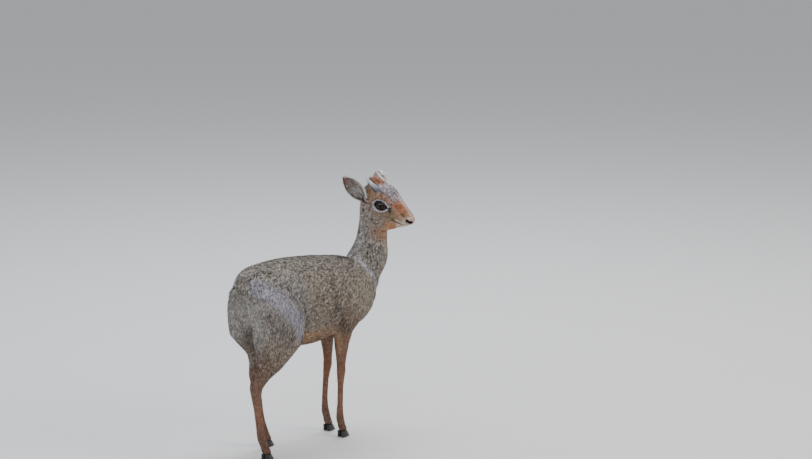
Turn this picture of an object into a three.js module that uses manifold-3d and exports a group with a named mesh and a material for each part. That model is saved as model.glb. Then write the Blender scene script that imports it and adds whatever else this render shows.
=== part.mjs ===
// Life-size still model of a dik-dik, a dwarf antelope, standing with its head turned to its right.
// Millimetres, +Z up. While it is built, +X is the way the trunk points, +Y the animal's left, and x = 0 the neck's root.
// Every flesh node is cut from smooth lofts, with a thin gap where two nodes meet.
import * as THREE from "three";
import { mergeVertices } from "three/addons/utils/BufferGeometryUtils.js";
import Module from "manifold-3d";

const wasm = await Module();
wasm.setup();

// Driving sizes
const gap = 0.35; // between two nodes that touch
const shoulderHeight = 380; // floor to the top of the withers
const trunkLength = 373; // breast to buttock
const breastX = 63;
const neckAngle = THREE.MathUtils.degToRad(42); // of the cut between neck and trunk, above the vertical
const neckCut = new THREE.Vector3(-8, 0, 379); // where that cut meets the back
const foreStance = { right: -30, left: 26 }; // where the fore feet stand, left of the middle
const hindStance = { right: -40, left: 33 };
// How far each limb is carried ahead of the plain stance, by height above the floor.
const foreSwing = {
  right: [[0, 0], [400, 0]],
  left: [[0, 15], [70, 15], [200, 34], [300, 0], [400, 0]],
};
const hindSwing = {
  right: [[0, 0], [400, 0]],
  left: [[0, 72], [172, 72], [255, 4], [300, 0], [400, 0]],
};
const elbowCut = 236; // height of the cut between shoulder and forearm
const kneeCut = 133;
const hockCut = 138;
const foreFetlockCut = 47;
const hindFetlockCut = 49;
const hoofHeight = 13.5;
const hoofLength = 25;
const hoofWidth = 9;
const eyeSize = { ahead: 16.5, aside: 13.8, up: 14.5 };
const eyeOpening = { length: 32, height: 20 };
const lidThickness = 1.5;
const hornLength = 48;
const hornRadius = 6.2;
const earLength = 67;
const earWall = 1.9;
const tailLength = 44;

// The head's own frame has its origin midway between the eyes, +X to the nose, +Y left and +Z up.
const headPlace = {
  at: new THREE.Vector3(65, -45, 480),
  turn: THREE.MathUtils.degToRad(-81),
  nod: THREE.MathUtils.degToRad(12.8),
  roll: THREE.MathUtils.degToRad(7),
};
const eyeCentre = { ahead: 0.5, aside: 15.1, up: -2.5 };

const vec = (x, y, z) => new THREE.Vector3(x, y, z);
const lerp = THREE.MathUtils.lerp;
const seeded = (seed) => () => {
  seed = (seed * 16807) % 2147483647;
  return seed / 2147483647;
};

// Solids and booleans

function toSolid(geometry) {
  const bare = new THREE.BufferGeometry();
  bare.setAttribute("position", geometry.getAttribute("position"));
  bare.setIndex(geometry.index);
  const merged = mergeVertices(bare, 1e-4);
  const triVerts = new Uint32Array(merged.index.array);
  const vertProperties = merged.getAttribute("position").array;
  const made = new wasm.Manifold(new wasm.Mesh({ numProp: 3, vertProperties, triVerts }));
  if (made.volume() > 0) return made;
  for (let i = 0; i < triVerts.length; i += 3) {
    [triVerts[i + 1], triVerts[i + 2]] = [triVerts[i + 2], triVerts[i + 1]];
  }
  return new wasm.Manifold(new wasm.Mesh({ numProp: 3, vertProperties, triVerts }));
}

function largest(solid) {
  return solid.decompose().reduce((a, b) => (b.volume() > a.volume() ? b : a));
}

function toGeometry(solid) {
  const mesh = solid.getMesh();
  const position = new Float32Array(mesh.numVert * 3);
  for (let i = 0; i < mesh.numVert; i++) {
    position.set(mesh.vertProperties.subarray(i * mesh.numProp, i * mesh.numProp + 3), i * 3);
  }
  const geometry = new THREE.BufferGeometry();
  geometry.setAttribute("position", new THREE.BufferAttribute(position, 3));
  geometry.setIndex(new THREE.BufferAttribute(mesh.triVerts, 1));
  geometry.computeVertexNormals();
  return geometry;
}

const join = (...solids) => solids.reduce((a, b) => a.add(b));
const keepAhead = (solid, normal, point) =>
  solid.trimByPlane(normal.toArray(), normal.dot(point) + gap / 2);
const above = (solid, height) => keepAhead(solid, vec(0, 0, 1), vec(0, 0, height));
const below = (solid, height) => keepAhead(solid, vec(0, 0, -1), vec(0, 0, height));

// Lofts

// Rings of points, joined and closed at both ends by a point in each end ring's middle.
function skin(rings) {
  const around = rings[0].length;
  const points = rings.flat();
  const index = [];
  for (let r = 0; r + 1 < rings.length; r++) {
    for (let k = 0; k < around; k++) {
      const a = r * around + k;
      const b = r * around + ((k + 1) % around);
      index.push(a, b, b + around, a, b + around, a + around);
    }
  }
  for (const r of [0, rings.length - 1]) {
    const middle = points.length;
    points.push(rings[r].reduce((s, p) => s.add(p), vec(0, 0, 0)).divideScalar(around));
    for (let k = 0; k < around; k++) {
      const a = r * around + k;
      const b = r * around + ((k + 1) % around);
      index.push(...(r === 0 ? [b, a, middle] : [a, b, middle]));
    }
  }
  const geometry = new THREE.BufferGeometry();
  const position = new Float32Array(points.flatMap((p) => p.toArray()));
  geometry.setAttribute("position", new THREE.BufferAttribute(position, 3));
  geometry.setIndex(index);
  return toSolid(geometry);
}

// A smooth value between numbers b and c, with a before and d after them.
function spline(a, b, c, d, t) {
  const t2 = t * t;
  return 0.5 * (2 * b + (c - a) * t + (2 * a - 5 * b + 4 * c - d) * t2 + (3 * b - a - 3 * c + d) * t2 * t);
}

// Rows of numbers with smooth rows put between them.
function refine(rows, steps) {
  const at = (i) => rows[Math.max(0, Math.min(rows.length - 1, i))];
  const fine = [];
  for (let i = 0; i + 1 < rows.length; i++) {
    for (let s = 0; s < steps; s++) {
      fine.push(rows[i].map((_, k) => spline(at(i - 1)[k], at(i)[k], at(i + 1)[k], at(i + 2)[k], s / steps)));
    }
  }
  fine.push(rows.at(-1));
  return fine;
}

// A rounded section: half sizes to the side, the top and the underside, and how square top and underside are.
function section(centre, side, top, sizes, around) {
  const { wide, up, down, topPower = 2, lowPower = 2 } = sizes;
  return Array.from({ length: around }, (_, k) => {
    const angle = (2 * Math.PI * k) / around;
    const [c, s] = [Math.cos(angle), Math.sin(angle)];
    const power = 2 / (s >= 0 ? topPower : lowPower);
    const out = Math.sign(c) * Math.abs(c) ** power * wide;
    const rise = Math.sign(s) * Math.abs(s) ** power * (s >= 0 ? up : down);
    return centre.clone().addScaledVector(side, out).addScaledVector(top, rise);
  });
}

// Upright slices along X. A row is x, half width, height of the widest line, top, underside, and the two powers.
function slicesAlongX(rows, { around = 24, steps = 1, grow = 0 } = {}) {
  return skin(
    refine(rows, steps).map(([x, wide, waist, top, low, topPower, lowPower]) =>
      section(vec(x, 0, waist), vec(0, -1, 0), vec(0, 0, 1),
        { wide: wide + grow, up: top - waist + grow, down: waist - low + grow, topPower, lowPower }, around),
    ),
  );
}

// Level slices down a limb. A row is height, x of the middle, y of the middle, half length and half width.
function slicesDownZ(rows, { around = 14, steps = 1, grow = 0, shift = () => 0, out = (y) => y } = {}) {
  return skin(
    refine(rows, steps).map(([z, x, y, long, wide]) =>
      section(vec(x + shift(z), out(y, z), z), vec(0, 1, 0), vec(1, 0, 0),
        { wide: wide + grow, up: long + grow, down: long + grow, topPower: 2.2, lowPower: 2.2 }, around),
    ),
  );
}

// A body along a line of centres, each row being a centre, half width and half thickness; flat is its thin direction.
function alongLine(centres, sizes, flat, around) {
  return skin(
    centres.map((centre, i) => {
      const next = centres[Math.min(i + 1, centres.length - 1)];
      const ahead = next.clone().sub(centres[Math.max(i - 1, 0)]).normalize();
      const side = vec(0, 0, 0).crossVectors(flat, ahead).normalize();
      const top = vec(0, 0, 0).crossVectors(ahead, side).normalize();
      const [wide, thick] = sizes[i];
      return section(centre, side, top, { wide, up: thick, down: thick }, around);
    }),
  );
}

function ellipsoid(centre, radii, around = 20, rings = 12) {
  const ball = new THREE.SphereGeometry(1, around, rings);
  ball.scale(...radii).translate(...centre.toArray());
  return toSolid(ball);
}

// Trunk, shoulders and neck

// Shares of the trunk's length behind the breast, then of the shoulder height: half width, widest line, top, underside.
const trunkShares = [
  [0.0, 0.02, 0.772, 0.8, 0.742, 2, 2],
  [0.03, 0.082, 0.778, 0.862, 0.672, 2, 2],
  [0.09, 0.113, 0.782, 0.92, 0.617, 2, 2],
  [0.16, 0.127, 0.778, 0.962, 0.585, 1.8, 2],
  [0.25, 0.137, 0.77, 0.992, 0.566, 1.75, 2],
  [0.355, 0.151, 0.768, 1.006, 0.556, 1.9, 2.1],
  [0.46, 0.163, 0.76, 1.018, 0.549, 2, 2.2],
  [0.57, 0.168, 0.762, 1.028, 0.547, 2.1, 2.2],
  [0.675, 0.158, 0.79, 1.036, 0.574, 2.1, 2.1],
  [0.77, 0.149, 0.826, 1.035, 0.648, 2, 2],
  [0.86, 0.14, 0.844, 1.03, 0.685, 1.9, 2],
  [0.93, 0.122, 0.85, 1.02, 0.71, 1.9, 2],
  [0.975, 0.094, 0.85, 0.992, 0.742, 1.9, 2],
  [1.0, 0.045, 0.845, 0.94, 0.79, 2, 2],
];

function trunk(grow = 0) {
  const rows = trunkShares.map(([along, wide, waist, top, low, topPower, lowPower]) => [
    breastX - along * trunkLength,
    ...[wide, waist, top, low].map((share) => share * shoulderHeight),
    topPower,
    lowPower,
  ]);
  return slicesAlongX(rows, { around: 26, steps: 2, grow });
}

// Height, x, y, half length and half width of a fore limb from the shoulder blade to the hoof's crown.
const foreRows = [
  [366, -24, -16, 6, 4],
  [350, -22, -24, 24, 11],
  [322, -14, -34, 41, 17],
  [292, -10, -40, 49, 18],
  [267, -26, -43, 47, 17.5],
  [247, -49, -43, 35, 16],
  [226, -61, -41, 23.5, 14.5],
  [200, -63.5, -39, 17, 12],
  [172, -62.5, -36, 11.8, 9.6],
  [152, -61, -34, 9.6, 8.4],
  [140, -60, -33, 10, 9],
  [128, -60.5, -32.5, 8.4, 7.6],
  [110, -61, -32, 6.9, 6.3],
  [72, -61.5, -31, 6.7, 6.2],
  [52, -62, -30.5, 8, 7],
  [41, -61, -30, 9.2, 8],
  [28, -57, -30, 8, 8.2],
  [16, -53, -30, 9.2, 9.6],
  [hoofHeight - 6, -51, -30, 9.6, 9.8],
];

// The same for a hind limb, from the hip.
const hindRows = [
  [378, -235, -20, 10, 5],
  [362, -238, -32, 34, 16],
  [335, -244, -37, 54, 26],
  [305, -241, -38, 63, 31],
  [275, -241, -37, 66, 32],
  [248, -242.5, -37, 65, 30],
  [226, -244, -38.5, 60, 25.5],
  [203, -260, -41, 47, 18.5],
  [184, -279, -42, 38, 13.5],
  [168, -298, -41, 25, 11],
  [153, -309, -40.5, 15.5, 9.8],
  [136, -308.5, -40, 11.6, 8.8],
  [112, -305, -40, 9.2, 7.6],
  [78, -300.5, -40, 8.6, 7.2],
  [56, -297, -40, 9.4, 7.8],
  [43, -293.5, -40, 10.4, 8.6],
  [29, -287, -40, 8.8, 8.6],
  [16, -281.5, -40, 9.8, 9.8],
  [hoofHeight - 6, -279.5, -40, 10, 10],
];

const flip = (side) => (side === "right" ? 1 : -1);
const carriedBy = (swing) => (z) => {
  const k = Math.max(1, swing.findIndex(([height]) => height >= z));
  const [[low, a], [high, b]] = [swing[k - 1], swing[k]];
  return lerp(a, b, THREE.MathUtils.smoothstep(z, low, high));
};

// The limb's feet stand where the stance says; its root stays on the trunk.
function limb(rows, side, stance, swing, grow = 0) {
  const root = rows[3];
  const foot = rows.at(-1);
  const out = (y, z) => {
    const share = Math.min(1, Math.max(0, (root[0] - z) / root[0]));
    return flip(side) * y + share * (stance - flip(side) * foot[2]);
  };
  return slicesDownZ(rows, { grow, shift: carriedBy(swing), out });
}

// Neck rows: centre, half width, half depth to nape and throat, and the turn of the nape from straight back.
const neckRows = [
  [-12, 0, 304, 42, 40, 66, 0],
  [18, 0, 332, 42, 46, 68, 4],
  [46, 0, 360, 37.5, 39.5, 52, 14],
  [62, 0, 388, 31, 32.5, 36, 28],
  [69, -1, 414, 26.5, 30.5, 31, 46],
  [69, -2, 440, 25, 27.5, 31, 64],
  [66, -4, 464, 25, 26.5, 34, 78],
  [61, -7, 484, 22, 22, 26, 81],
];

// Loose skin from the neck to under the jaw, in the head's frame and with the skull's row order.
const throatRows = [
  [-46, 14, -40, -22, -58, 2, 2],
  [-34, 21, -42, -14, -64, 2, 2],
  [-16, 21, -42, -12, -66, 2, 2],
  [2, 17.5, -42, -16, -64, 2, 2],
  [17, 13, -41, -22, -58, 2, 2],
  [30, 8.5, -39, -26, -50, 2, 2],
  [39, 3, -37, -30, -42, 2, 2],
];
const throat = () => slicesAlongX(throatRows, { around: 16 });

function neckLoft() {
  return skin(
    refine(neckRows, 2).map(([x, y, z, wide, up, down, turn]) => {
      const angle = THREE.MathUtils.degToRad(turn);
      const nape = vec(-Math.cos(angle), Math.sin(angle), 0);
      const side = vec(-nape.y, nape.x, 0);
      return section(vec(x, y, z), side, nape, { wide, up, down, topPower: 2.1, lowPower: 2 }, 24);
    }),
  );
}

// Head

// Distance ahead of the eyes, half width, widest line, top, underside and powers of the skull and snout.
const skullRows = [
  [-58, 7, -3, 5, -12, 2, 2],
  [-53, 19, -2, 18, -24, 2, 2],
  [-43, 26, -2, 28.5, -33, 2.1, 2],
  [-29, 28.5, -3, 34, -36, 2.2, 2],
  [-14, 27.5, -3, 35.5, -36, 2.2, 2],
  [0, 26.5, -3, 36.5, -34, 2.1, 2],
  [12, 23, -4, 33.5, -32, 2, 2],
  [24, 18.4, -7, 25, -30, 2, 2.1],
  [36, 15, -11, 14, -29, 2, 2.2],
  [48, 13.2, -14, 4, -28.4, 2, 2.3],
  [58, 12.4, -17, -4, -28.2, 2.1, 2.3],
  [65, 11, -19, -10, -27.8, 2.2, 2.3],
  [69, 8.4, -20.5, -14, -26.6, 2.2, 2.2],
  [71, 3.6, -21, -18, -24.5, 2, 2],
];

// The same for the lower jaw, which ends short of the nose.
const jawRows = [
  [-46, 8, -26, -16, -32, 2, 2],
  [-36, 19, -26, -8, -45, 2, 2],
  [-20, 21, -28, -8, -51, 2, 2.1],
  [0, 18.5, -28, -12, -52, 2, 2],
  [20, 13.6, -29, -18, -48.5, 2, 1.9],
  [38, 10, -30, -23, -45.5, 2, 2],
  [52, 8, -30.5, -25.5, -38, 2, 2.1],
  [58.5, 5.4, -30, -26.5, -33.2, 2, 2],
  [61, 1.8, -29.6, -28, -31, 2, 2],
];

function plainHead(grow = 0) {
  return join(
    slicesAlongX(skullRows, { around: 24, steps: 1, grow }),
    slicesAlongX(jawRows, { around: 16, steps: 1, grow }),
  );
}

const eyeAt = (side) => vec(eyeCentre.ahead, -flip(side) * eyeCentre.aside, eyeCentre.up);

// The way an eye looks: outwards, a little ahead and up.
const gaze = (side) => vec(0.26, -flip(side) * 0.96, 0.1).normalize();

// The opening between the lids: an almond that runs outwards from the eye's middle.
function lidOpening(side) {
  const look = gaze(side);
  const along = vec(1, flip(side) * 0.27, -0.34).normalize();
  const across = vec(0, 0, 0).crossVectors(look, along).normalize();
  const around = 14;
  const ring = (reach, spread) =>
    Array.from({ length: around }, (_, k) => {
      const angle = (2 * Math.PI * k) / around;
      const [c, s] = [Math.cos(angle), Math.sin(angle)];
      const narrow = (1 - 0.25 * Math.max(0, c) ** 2) * Math.abs(s) ** 0.2;
      return eyeAt(side)
        .addScaledVector(look, reach)
        .addScaledVector(along, (c * spread * eyeOpening.length) / 2)
        .addScaledVector(across, (s * narrow * spread * eyeOpening.height) / 2);
    });
  return skin([ring(1, 0.7), ring(eyeSize.aside, 0.98), ring(eyeSize.aside * 2, 1.2)]);
}

function eyeball(side, grow = 0) {
  const { ahead, aside, up } = eyeSize;
  return ellipsoid(eyeAt(side), [ahead + grow, aside + grow, up + grow], 16, 12);
}

// The rim of bone and skin that each eye is set in.
function orbit(side) {
  return ellipsoid(vec(0, -flip(side) * 13.5, -1.5), [22, 15.5, 18.5], 18, 12);
}

// A swelling under each eye's front corner, with the slit of its scent gland.
function scentGland(side) {
  return ellipsoid(vec(25, -flip(side) * 15.2, -8.5), [7, 4.2, 4.8], 12, 8);
}

function scentSlit(side) {
  return ellipsoid(vec(26, -flip(side) * 19.6, -8.5), [3.6, 1.6, 1.2], 10, 6);
}

// The mouth: a thin slit round the snout, between the upper lip and the jaw.
function mouthSlit() {
  const rows = [
    [26, 19, -25.6],
    [40, 15.6, -27.4],
    [52, 13.6, -28.4],
    [61, 10.6, -28.9],
    [66, 5.4, -29],
    [67.5, 0, -29],
  ];
  const halfHeight = 0.55;
  const depth = 4;
  const line = refine([...rows, ...rows.slice(0, -1).reverse().map(([x, y, z]) => [x, -y, z])], 2);
  return skin(
    line.map(([x, y, z], i) => {
      const [a, b] = [line[Math.max(0, i - 1)], line[Math.min(line.length - 1, i + 1)]];
      const inward = vec(-(b[1] - a[1]), b[0] - a[0], 0).normalize();
      inward.multiplyScalar(inward.dot(vec(30 - x, -y, 0)) < 0 ? -1 : 1);
      const at = vec(x, y, z);
      return [
        at.clone().addScaledVector(inward, -3).add(vec(0, 0, halfHeight)),
        at.clone().addScaledVector(inward, depth).add(vec(0, 0, halfHeight)),
        at.clone().addScaledVector(inward, depth).add(vec(0, 0, -halfHeight)),
        at.clone().addScaledVector(inward, -3).add(vec(0, 0, -halfHeight)),
      ];
    }),
  );
}

// A lip: a soft ridge along one side of the mouth.
function lip(side, rows, thick) {
  const centres = refine(rows, 2).map(([x, y, z]) => vec(x, -flip(side) * y, z));
  const sizes = centres.map((_, i) => {
    const fade = Math.sin((Math.PI * (i + 0.6)) / (centres.length + 0.2));
    return [thick * Math.max(0.3, fade), thick * Math.max(0.3, fade)];
  });
  return alongLine(centres, sizes, vec(0, 0, 1), 8);
}
const upperLipRows = [[28, 15.4, -23], [42, 12.6, -25], [54, 11.2, -25.6], [63, 8.4, -26], [68, 3, -26]];
const lowerLipRows = [[30, 11.6, -30], [42, 9.6, -30.6], [52, 7.6, -31], [58.5, 4, -30.6]];

// Nostrils: comma-shaped openings at the front of the nose.
function nostril(side) {
  return ellipsoid(vec(70, -flip(side) * 5.3, -20.5), [4.6, 2.2, 3], 12, 8);
}

// A flat tapered lock of hair that bends from its root, which is sunk in what it grows from.
function lock(root, way, normal, length, width, lift) {
  const sink = 0.16;
  const shares = [-sink, 0.22, 0.6, 1];
  const centres = shares.map((t) =>
    root.clone().addScaledVector(way, t * length).addScaledVector(normal, lift * (t - t * t * 0.6) * length),
  );
  const sizes = [[0.42, 0.3], [0.5, 0.26], [0.36, 0.2], [0.07, 0.07]].map(([w, d]) => [w * width, d * width]);
  return alongLine(centres, sizes, normal, 6);
}

// The tuft on the crown, between and behind the horns: rows of locks laid back over one another.
function crownTuft() {
  const random = seeded(7);
  const locks = [];
  const rows = [
    { ahead: -11, count: 2, rise: 0.7 },
    { ahead: -20, count: 3, rise: 0.8 },
    { ahead: -29, count: 4, rise: 0.6 },
  ];
  for (const { ahead, count, rise } of rows) {
    for (let k = 0; k < count; k++) {
      const aside = (k - (count - 1) / 2) * 6.4;
      const root = vec(ahead + 2 * random(), aside, 33.6 - aside * aside * 0.035);
      const way = vec(-1, aside * 0.02 + 0.2 * (random() - 0.5), 0.1).normalize();
      locks.push(lock(root, way, vec(0, aside * 0.03, 1).normalize(), lerp(13, 17, random()), 8, rise));
    }
  }
  return join(...locks);
}

function headSolid() {
  let head = join(
    plainHead(),
    ...["right", "left"].flatMap((side) => [
      eyeball(side, lidThickness),
      orbit(side),
      scentGland(side),
      lip(side, upperLipRows, 2.6),
      lip(side, lowerLipRows, 2.2),
    ]),
    crownTuft(),
  );
  for (const side of ["right", "left"]) {
    head = head
      .subtract(eyeball(side, gap))
      .subtract(lidOpening(side))
      .subtract(scentSlit(side))
      .subtract(nostril(side))
      .subtract(horn(side, gap));
  }
  return largest(head.subtract(mouthSlit()));
}

// Horns: short ringed spikes that lie back from above the eyes.
const hornFoot = (side) => vec(-12, -flip(side) * 15, 23.5);
const hornWays = { right: vec(-0.82, -0.14, 0.55).normalize(), left: vec(-0.86, 0.26, 0.44).normalize() };

function horn(side, grow = 0) {
  const rings = 3;
  const steps = 12;
  const centres = [];
  const sizes = [];
  for (let i = 0; i <= steps; i++) {
    const t = i / steps;
    const bow = 1.6 * Math.sin(Math.PI * t);
    centres.push(hornFoot(side).addScaledVector(hornWays[side], hornLength * t).add(vec(-bow * 0.5, 0, -bow * 0.6)));
    const bump = t < 0.5 ? 0.35 * Math.sin(2 * Math.PI * rings * t * 2) * (1 - 2 * t) : 0;
    const radius = hornRadius * (1 - t) ** 0.8 * (1 - 0.1 * t) + 0.35 + bump;
    sizes.push([radius + grow, radius + grow]);
  }
  return alongLine(centres, sizes, vec(0, 1, 0), 10);
}

// Ears: a cupped leaf, each on its own line because they turn and open separately.
const ears = {
  right: { foot: vec(-36.2, -27, 1.5), way: vec(-0.56, -0.47, 0.69), open: vec(0.62, -0.76, 0.1), spread: 0.9 },
  left: { foot: vec(-35, 22, 14.5), way: vec(-0.68, 0.73, 0.07), open: vec(0.8, 0.55, -0.1), spread: 1 },
};

function ear(side) {
  const { foot, way, open, spread } = ears[side];
  const axis = way.clone().normalize();
  const front = open.clone().addScaledVector(axis, -open.dot(axis)).normalize();
  const across = vec(0, 0, 0).crossVectors(axis, front).normalize();
  // share of the length, half width, and half angle of the cup's arc in degrees
  const rows = refine([
    [-0.13, 7, 150],
    [0.08, 10.5, 140],
    [0.24, 15.5, 118],
    [0.42, 18.8, 98],
    [0.6, 18.6, 84],
    [0.77, 14.8, 74],
    [0.9, 9, 64],
    [1.0, 2.4, 52],
  ], 1);
  const pointsAcross = 8;
  return skin(
    rows.map(([t, width, degrees]) => {
      const half = width * spread;
      const arc = THREE.MathUtils.degToRad(degrees);
      const radius = half / Math.sin(Math.min(arc, Math.PI / 2));
      const middle = foot.clone().addScaledVector(axis, t * earLength).addScaledVector(front, radius - half * 0.55);
      const wall = Math.min(earWall, half * 0.5);
      const arcPoint = (share, r) => {
        const angle = lerp(-arc, arc, share);
        return middle
          .clone()
          .addScaledVector(front, -Math.cos(angle) * r)
          .addScaledVector(across, Math.sin(angle) * r);
      };
      const shares = Array.from({ length: pointsAcross }, (_, k) => k / (pointsAcross - 1));
      return [
        ...shares.map((s) => arcPoint(s, radius)),
        ...shares.reverse().map((s) => arcPoint(s, radius - wall)),
      ];
    }),
  );
}

// Tail: short, tapered, lying down the rump.
function tail() {
  const root = vec(breastX - trunkLength + 9, 0, 0.975 * shoulderHeight);
  const centres = [-0.35, 0, 0.3, 0.6, 0.85, 1].map((t) =>
    root.clone().add(vec(-tailLength * 0.62 * Math.sin(1.35 * Math.max(t, -0.2)), 0, -tailLength * 0.9 * t * Math.abs(t))),
  );
  centres[0].copy(root).add(vec(16, 0, 4));
  return alongLine(centres, [[9, 9], [10, 9], [9.6, 8], [8, 6.4], [5, 4], [1, 1]], vec(-1, 0, 0.2), 14);
}

// One claw of a hoof: a pointed wedge with a flat sole.
function claw(x, y, inner) {
  const around = 12;
  const ring = (z, length, width, back) =>
    Array.from({ length: around }, (_, k) => {
      const angle = (2 * Math.PI * k) / around;
      const [c, s] = [Math.cos(angle), Math.sin(angle)];
      const taper = 1 - 0.42 * Math.max(0, c) ** 1.5;
      const hug = inner * 0.12 * width * (c + 1);
      return vec(x + back + (c * length) / 2, y + (s * width * taper) / 2 - hug, z);
    });
  return skin([
    ring(0, hoofLength, hoofWidth, 3.4),
    ring(hoofHeight * 0.35, hoofLength * 0.9, hoofWidth, 2.2),
    ring(hoofHeight * 0.75, hoofLength * 0.76, hoofWidth * 0.98, 0.6),
    ring(hoofHeight - gap, hoofLength * 0.68, hoofWidth * 0.94, -0.4),
  ]);
}

// Two small dew claws behind each fetlock.
function dewClaws(x, y, z) {
  return join(
    ...[-1, 1].map((s) => ellipsoid(vec(x, y + s * 4.6, z), [4, 2.6, 4], 10, 6)),
  );
}

// Assembly

const model = new THREE.Group();
const finish = (color, roughness) => new THREE.MeshStandardMaterial({ color, roughness, metalness: 0 });
const finishes = {
  grizzled: finish(0x7d746b, 0.9),
  tawny: finish(0x8a6244, 0.9),
  horn: finish(0x4a4744, 0.45),
  eye: finish(0x120d0a, 0.08),
  hoof: finish(0x2c2723, 0.4),
};

function add(name, solid, material, parent = model) {
  const mesh = new THREE.Mesh(toGeometry(largest(solid)), material);
  mesh.name = name;
  parent.add(mesh);
  return mesh;
}

const headFrame = new THREE.Group();
headFrame.rotation.order = "ZYX";
headFrame.rotation.set(headPlace.roll, headPlace.nod, headPlace.turn);
headFrame.position.copy(headPlace.at);
headFrame.updateMatrix();
model.add(headFrame);
const inWorld = (solid) => solid.transform(headFrame.matrix.toArray());

const limbs = {
  fore: Object.fromEntries(["right", "left"].map((s) => [s, limb(foreRows, s, foreStance[s], foreSwing[s])])),
  hind: Object.fromEntries(["right", "left"].map((s) => [s, limb(hindRows, s, hindStance[s], hindSwing[s])])),
};

const neckNormal = vec(Math.cos(neckAngle), 0, Math.sin(neckAngle));
const shoulders = ["right", "left"].map((side) => above(limbs.fore[side], elbowCut));
const body = join(trunk(), ...shoulders, neckLoft(), inWorld(throat()));
const headShell = inWorld(plainHead(gap));
const trunkShell = trunk(gap);
const tailSolid = tail();

const torso = keepAhead(body, neckNormal.clone().negate(), neckCut);
add("torso", torso, finishes.grizzled);
add("neck", keepAhead(body, neckNormal, neckCut).subtract(headShell), finishes.grizzled);
add("tail", tailSolid.subtract(trunkShell), finishes.grizzled);
add("head", headSolid(), finishes.tawny, headFrame);

for (const side of ["right", "left"]) {
  add(`ear_${side}`, ear(side).subtract(plainHead(gap)), finishes.tawny, headFrame);
  add(`eye_${side}`, eyeball(side), finishes.eye, headFrame);
  add(`horn_${side}`, horn(side), finishes.horn, headFrame);
}

// Plane through the knee of a hind leg, square to the shin.
function stifleCut(side) {
  const swing = carriedBy(hindSwing[side]);
  const knee = vec(-236 + swing(226), 0, 226);
  const hock = vec(-306 + swing(158), 0, 158);
  return { point: knee, normal: hock.sub(knee).normalize() };
}

function addFoot(kind, side, leg, fetlockCut, rows, stance, swing) {
  const [, crownX] = rows.at(-2);
  const x = crownX + swing;
  const fetlock = rows.at(-4);
  const claws = dewClaws(fetlock[1] + swing - fetlock[3] - 0.5, stance, fetlock[0] - 8);
  add(`pastern_${kind}_${side}`, above(below(leg.add(claws), fetlockCut), hoofHeight), finishes.tawny);
  for (const [name, out] of [["outer", flip(side)], ["inner", -flip(side)]]) {
    add(`hoof_${kind}_${side}_${name}`, claw(x, stance - out * (hoofWidth / 2 + 1.2), -out), finishes.hoof);
  }
}

for (const side of ["right", "left"]) {
  const leg = limbs.fore[side];
  const forearm = above(below(leg, elbowCut), kneeCut).subtract(trunkShell);
  add(`forearm_${side}`, forearm, finishes.tawny);
  add(`cannon_fore_${side}`, above(below(leg, kneeCut), foreFetlockCut), finishes.tawny);
  addFoot("fore", side, leg, foreFetlockCut, foreRows, foreStance[side], foreSwing[side][0][1]);
}

for (const side of ["right", "left"]) {
  const leg = limbs.hind[side];
  const { point, normal } = stifleCut(side);
  const thigh = keepAhead(leg, normal.clone().negate(), point).subtract(trunkShell);
  add(`thigh_${side}`, thigh, finishes.grizzled);
  add(`shank_${side}`, above(keepAhead(leg, normal, point), hockCut).subtract(trunkShell), finishes.tawny);
  add(`cannon_hind_${side}`, above(below(leg, hockCut), hindFetlockCut), finishes.tawny);
  addFoot("hind", side, leg, hindFetlockCut, hindRows, hindStance[side], hindSwing[side][0][1]);
}

// The part's origin is on the floor, under the middle of its box.
const box = new THREE.Box3().setFromObject(model, true);
const middle = box.getCenter(vec(0, 0, 0));
const part = new THREE.Group();
model.position.set(-middle.x, -middle.y, -box.min.z);
part.add(model);
part.updateMatrixWorld(true);

export default part;
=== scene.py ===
import math
import bpy
import numpy as np
from mathutils import Matrix, Vector


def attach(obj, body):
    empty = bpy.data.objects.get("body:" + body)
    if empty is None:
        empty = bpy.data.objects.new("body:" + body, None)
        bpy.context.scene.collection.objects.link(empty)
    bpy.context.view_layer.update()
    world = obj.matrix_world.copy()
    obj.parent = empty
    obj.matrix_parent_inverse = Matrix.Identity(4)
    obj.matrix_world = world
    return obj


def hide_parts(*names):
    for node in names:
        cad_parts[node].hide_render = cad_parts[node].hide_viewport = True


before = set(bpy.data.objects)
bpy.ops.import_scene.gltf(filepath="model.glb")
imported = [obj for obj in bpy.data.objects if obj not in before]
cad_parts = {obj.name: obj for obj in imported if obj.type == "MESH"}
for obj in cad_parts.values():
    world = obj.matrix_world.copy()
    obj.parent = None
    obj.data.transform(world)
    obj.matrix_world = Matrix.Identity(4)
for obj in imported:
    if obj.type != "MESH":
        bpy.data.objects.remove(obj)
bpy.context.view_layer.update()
random = np.random.default_rng(15)


def linear(hexColour):
    # sRGB hex to the linear values that Blender's sockets take
    out = []
    for i in (1, 3, 5):
        c = int(hexColour[i:i + 2], 16) / 255
        out.append(c / 12.92 if c <= 0.04045 else ((c + 0.055) / 1.055) ** 2.4)
    return tuple(out)


def selectOnly(*things):
    bpy.ops.object.select_all(action="DESELECT")
    for thing in things:
        thing.select_set(True)
    bpy.context.view_layer.objects.active = things[0]


def applyModifier(thing, kind, **settings):
    selectOnly(thing)
    modifier = thing.modifiers.new(kind.title(), kind)
    for key, value in settings.items():
        setattr(modifier, key, value)
    bpy.ops.object.modifier_apply(modifier=modifier.name)


def step(x, low, high):
    # a soft step from 0 at low to 1 at high
    t = np.clip((x - low) / (high - low), 0, 1)
    return t * t * (3 - 2 * t)


def pointsOf(thing):
    out = np.empty(len(thing.data.vertices) * 3)
    thing.data.vertices.foreach_get("co", out)
    return out.reshape(-1, 3)


def normalsOf(thing):
    out = np.empty(len(thing.data.vertices) * 3)
    thing.data.vertex_normals.foreach_get("vector", out)
    return out.reshape(-1, 3)


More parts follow.
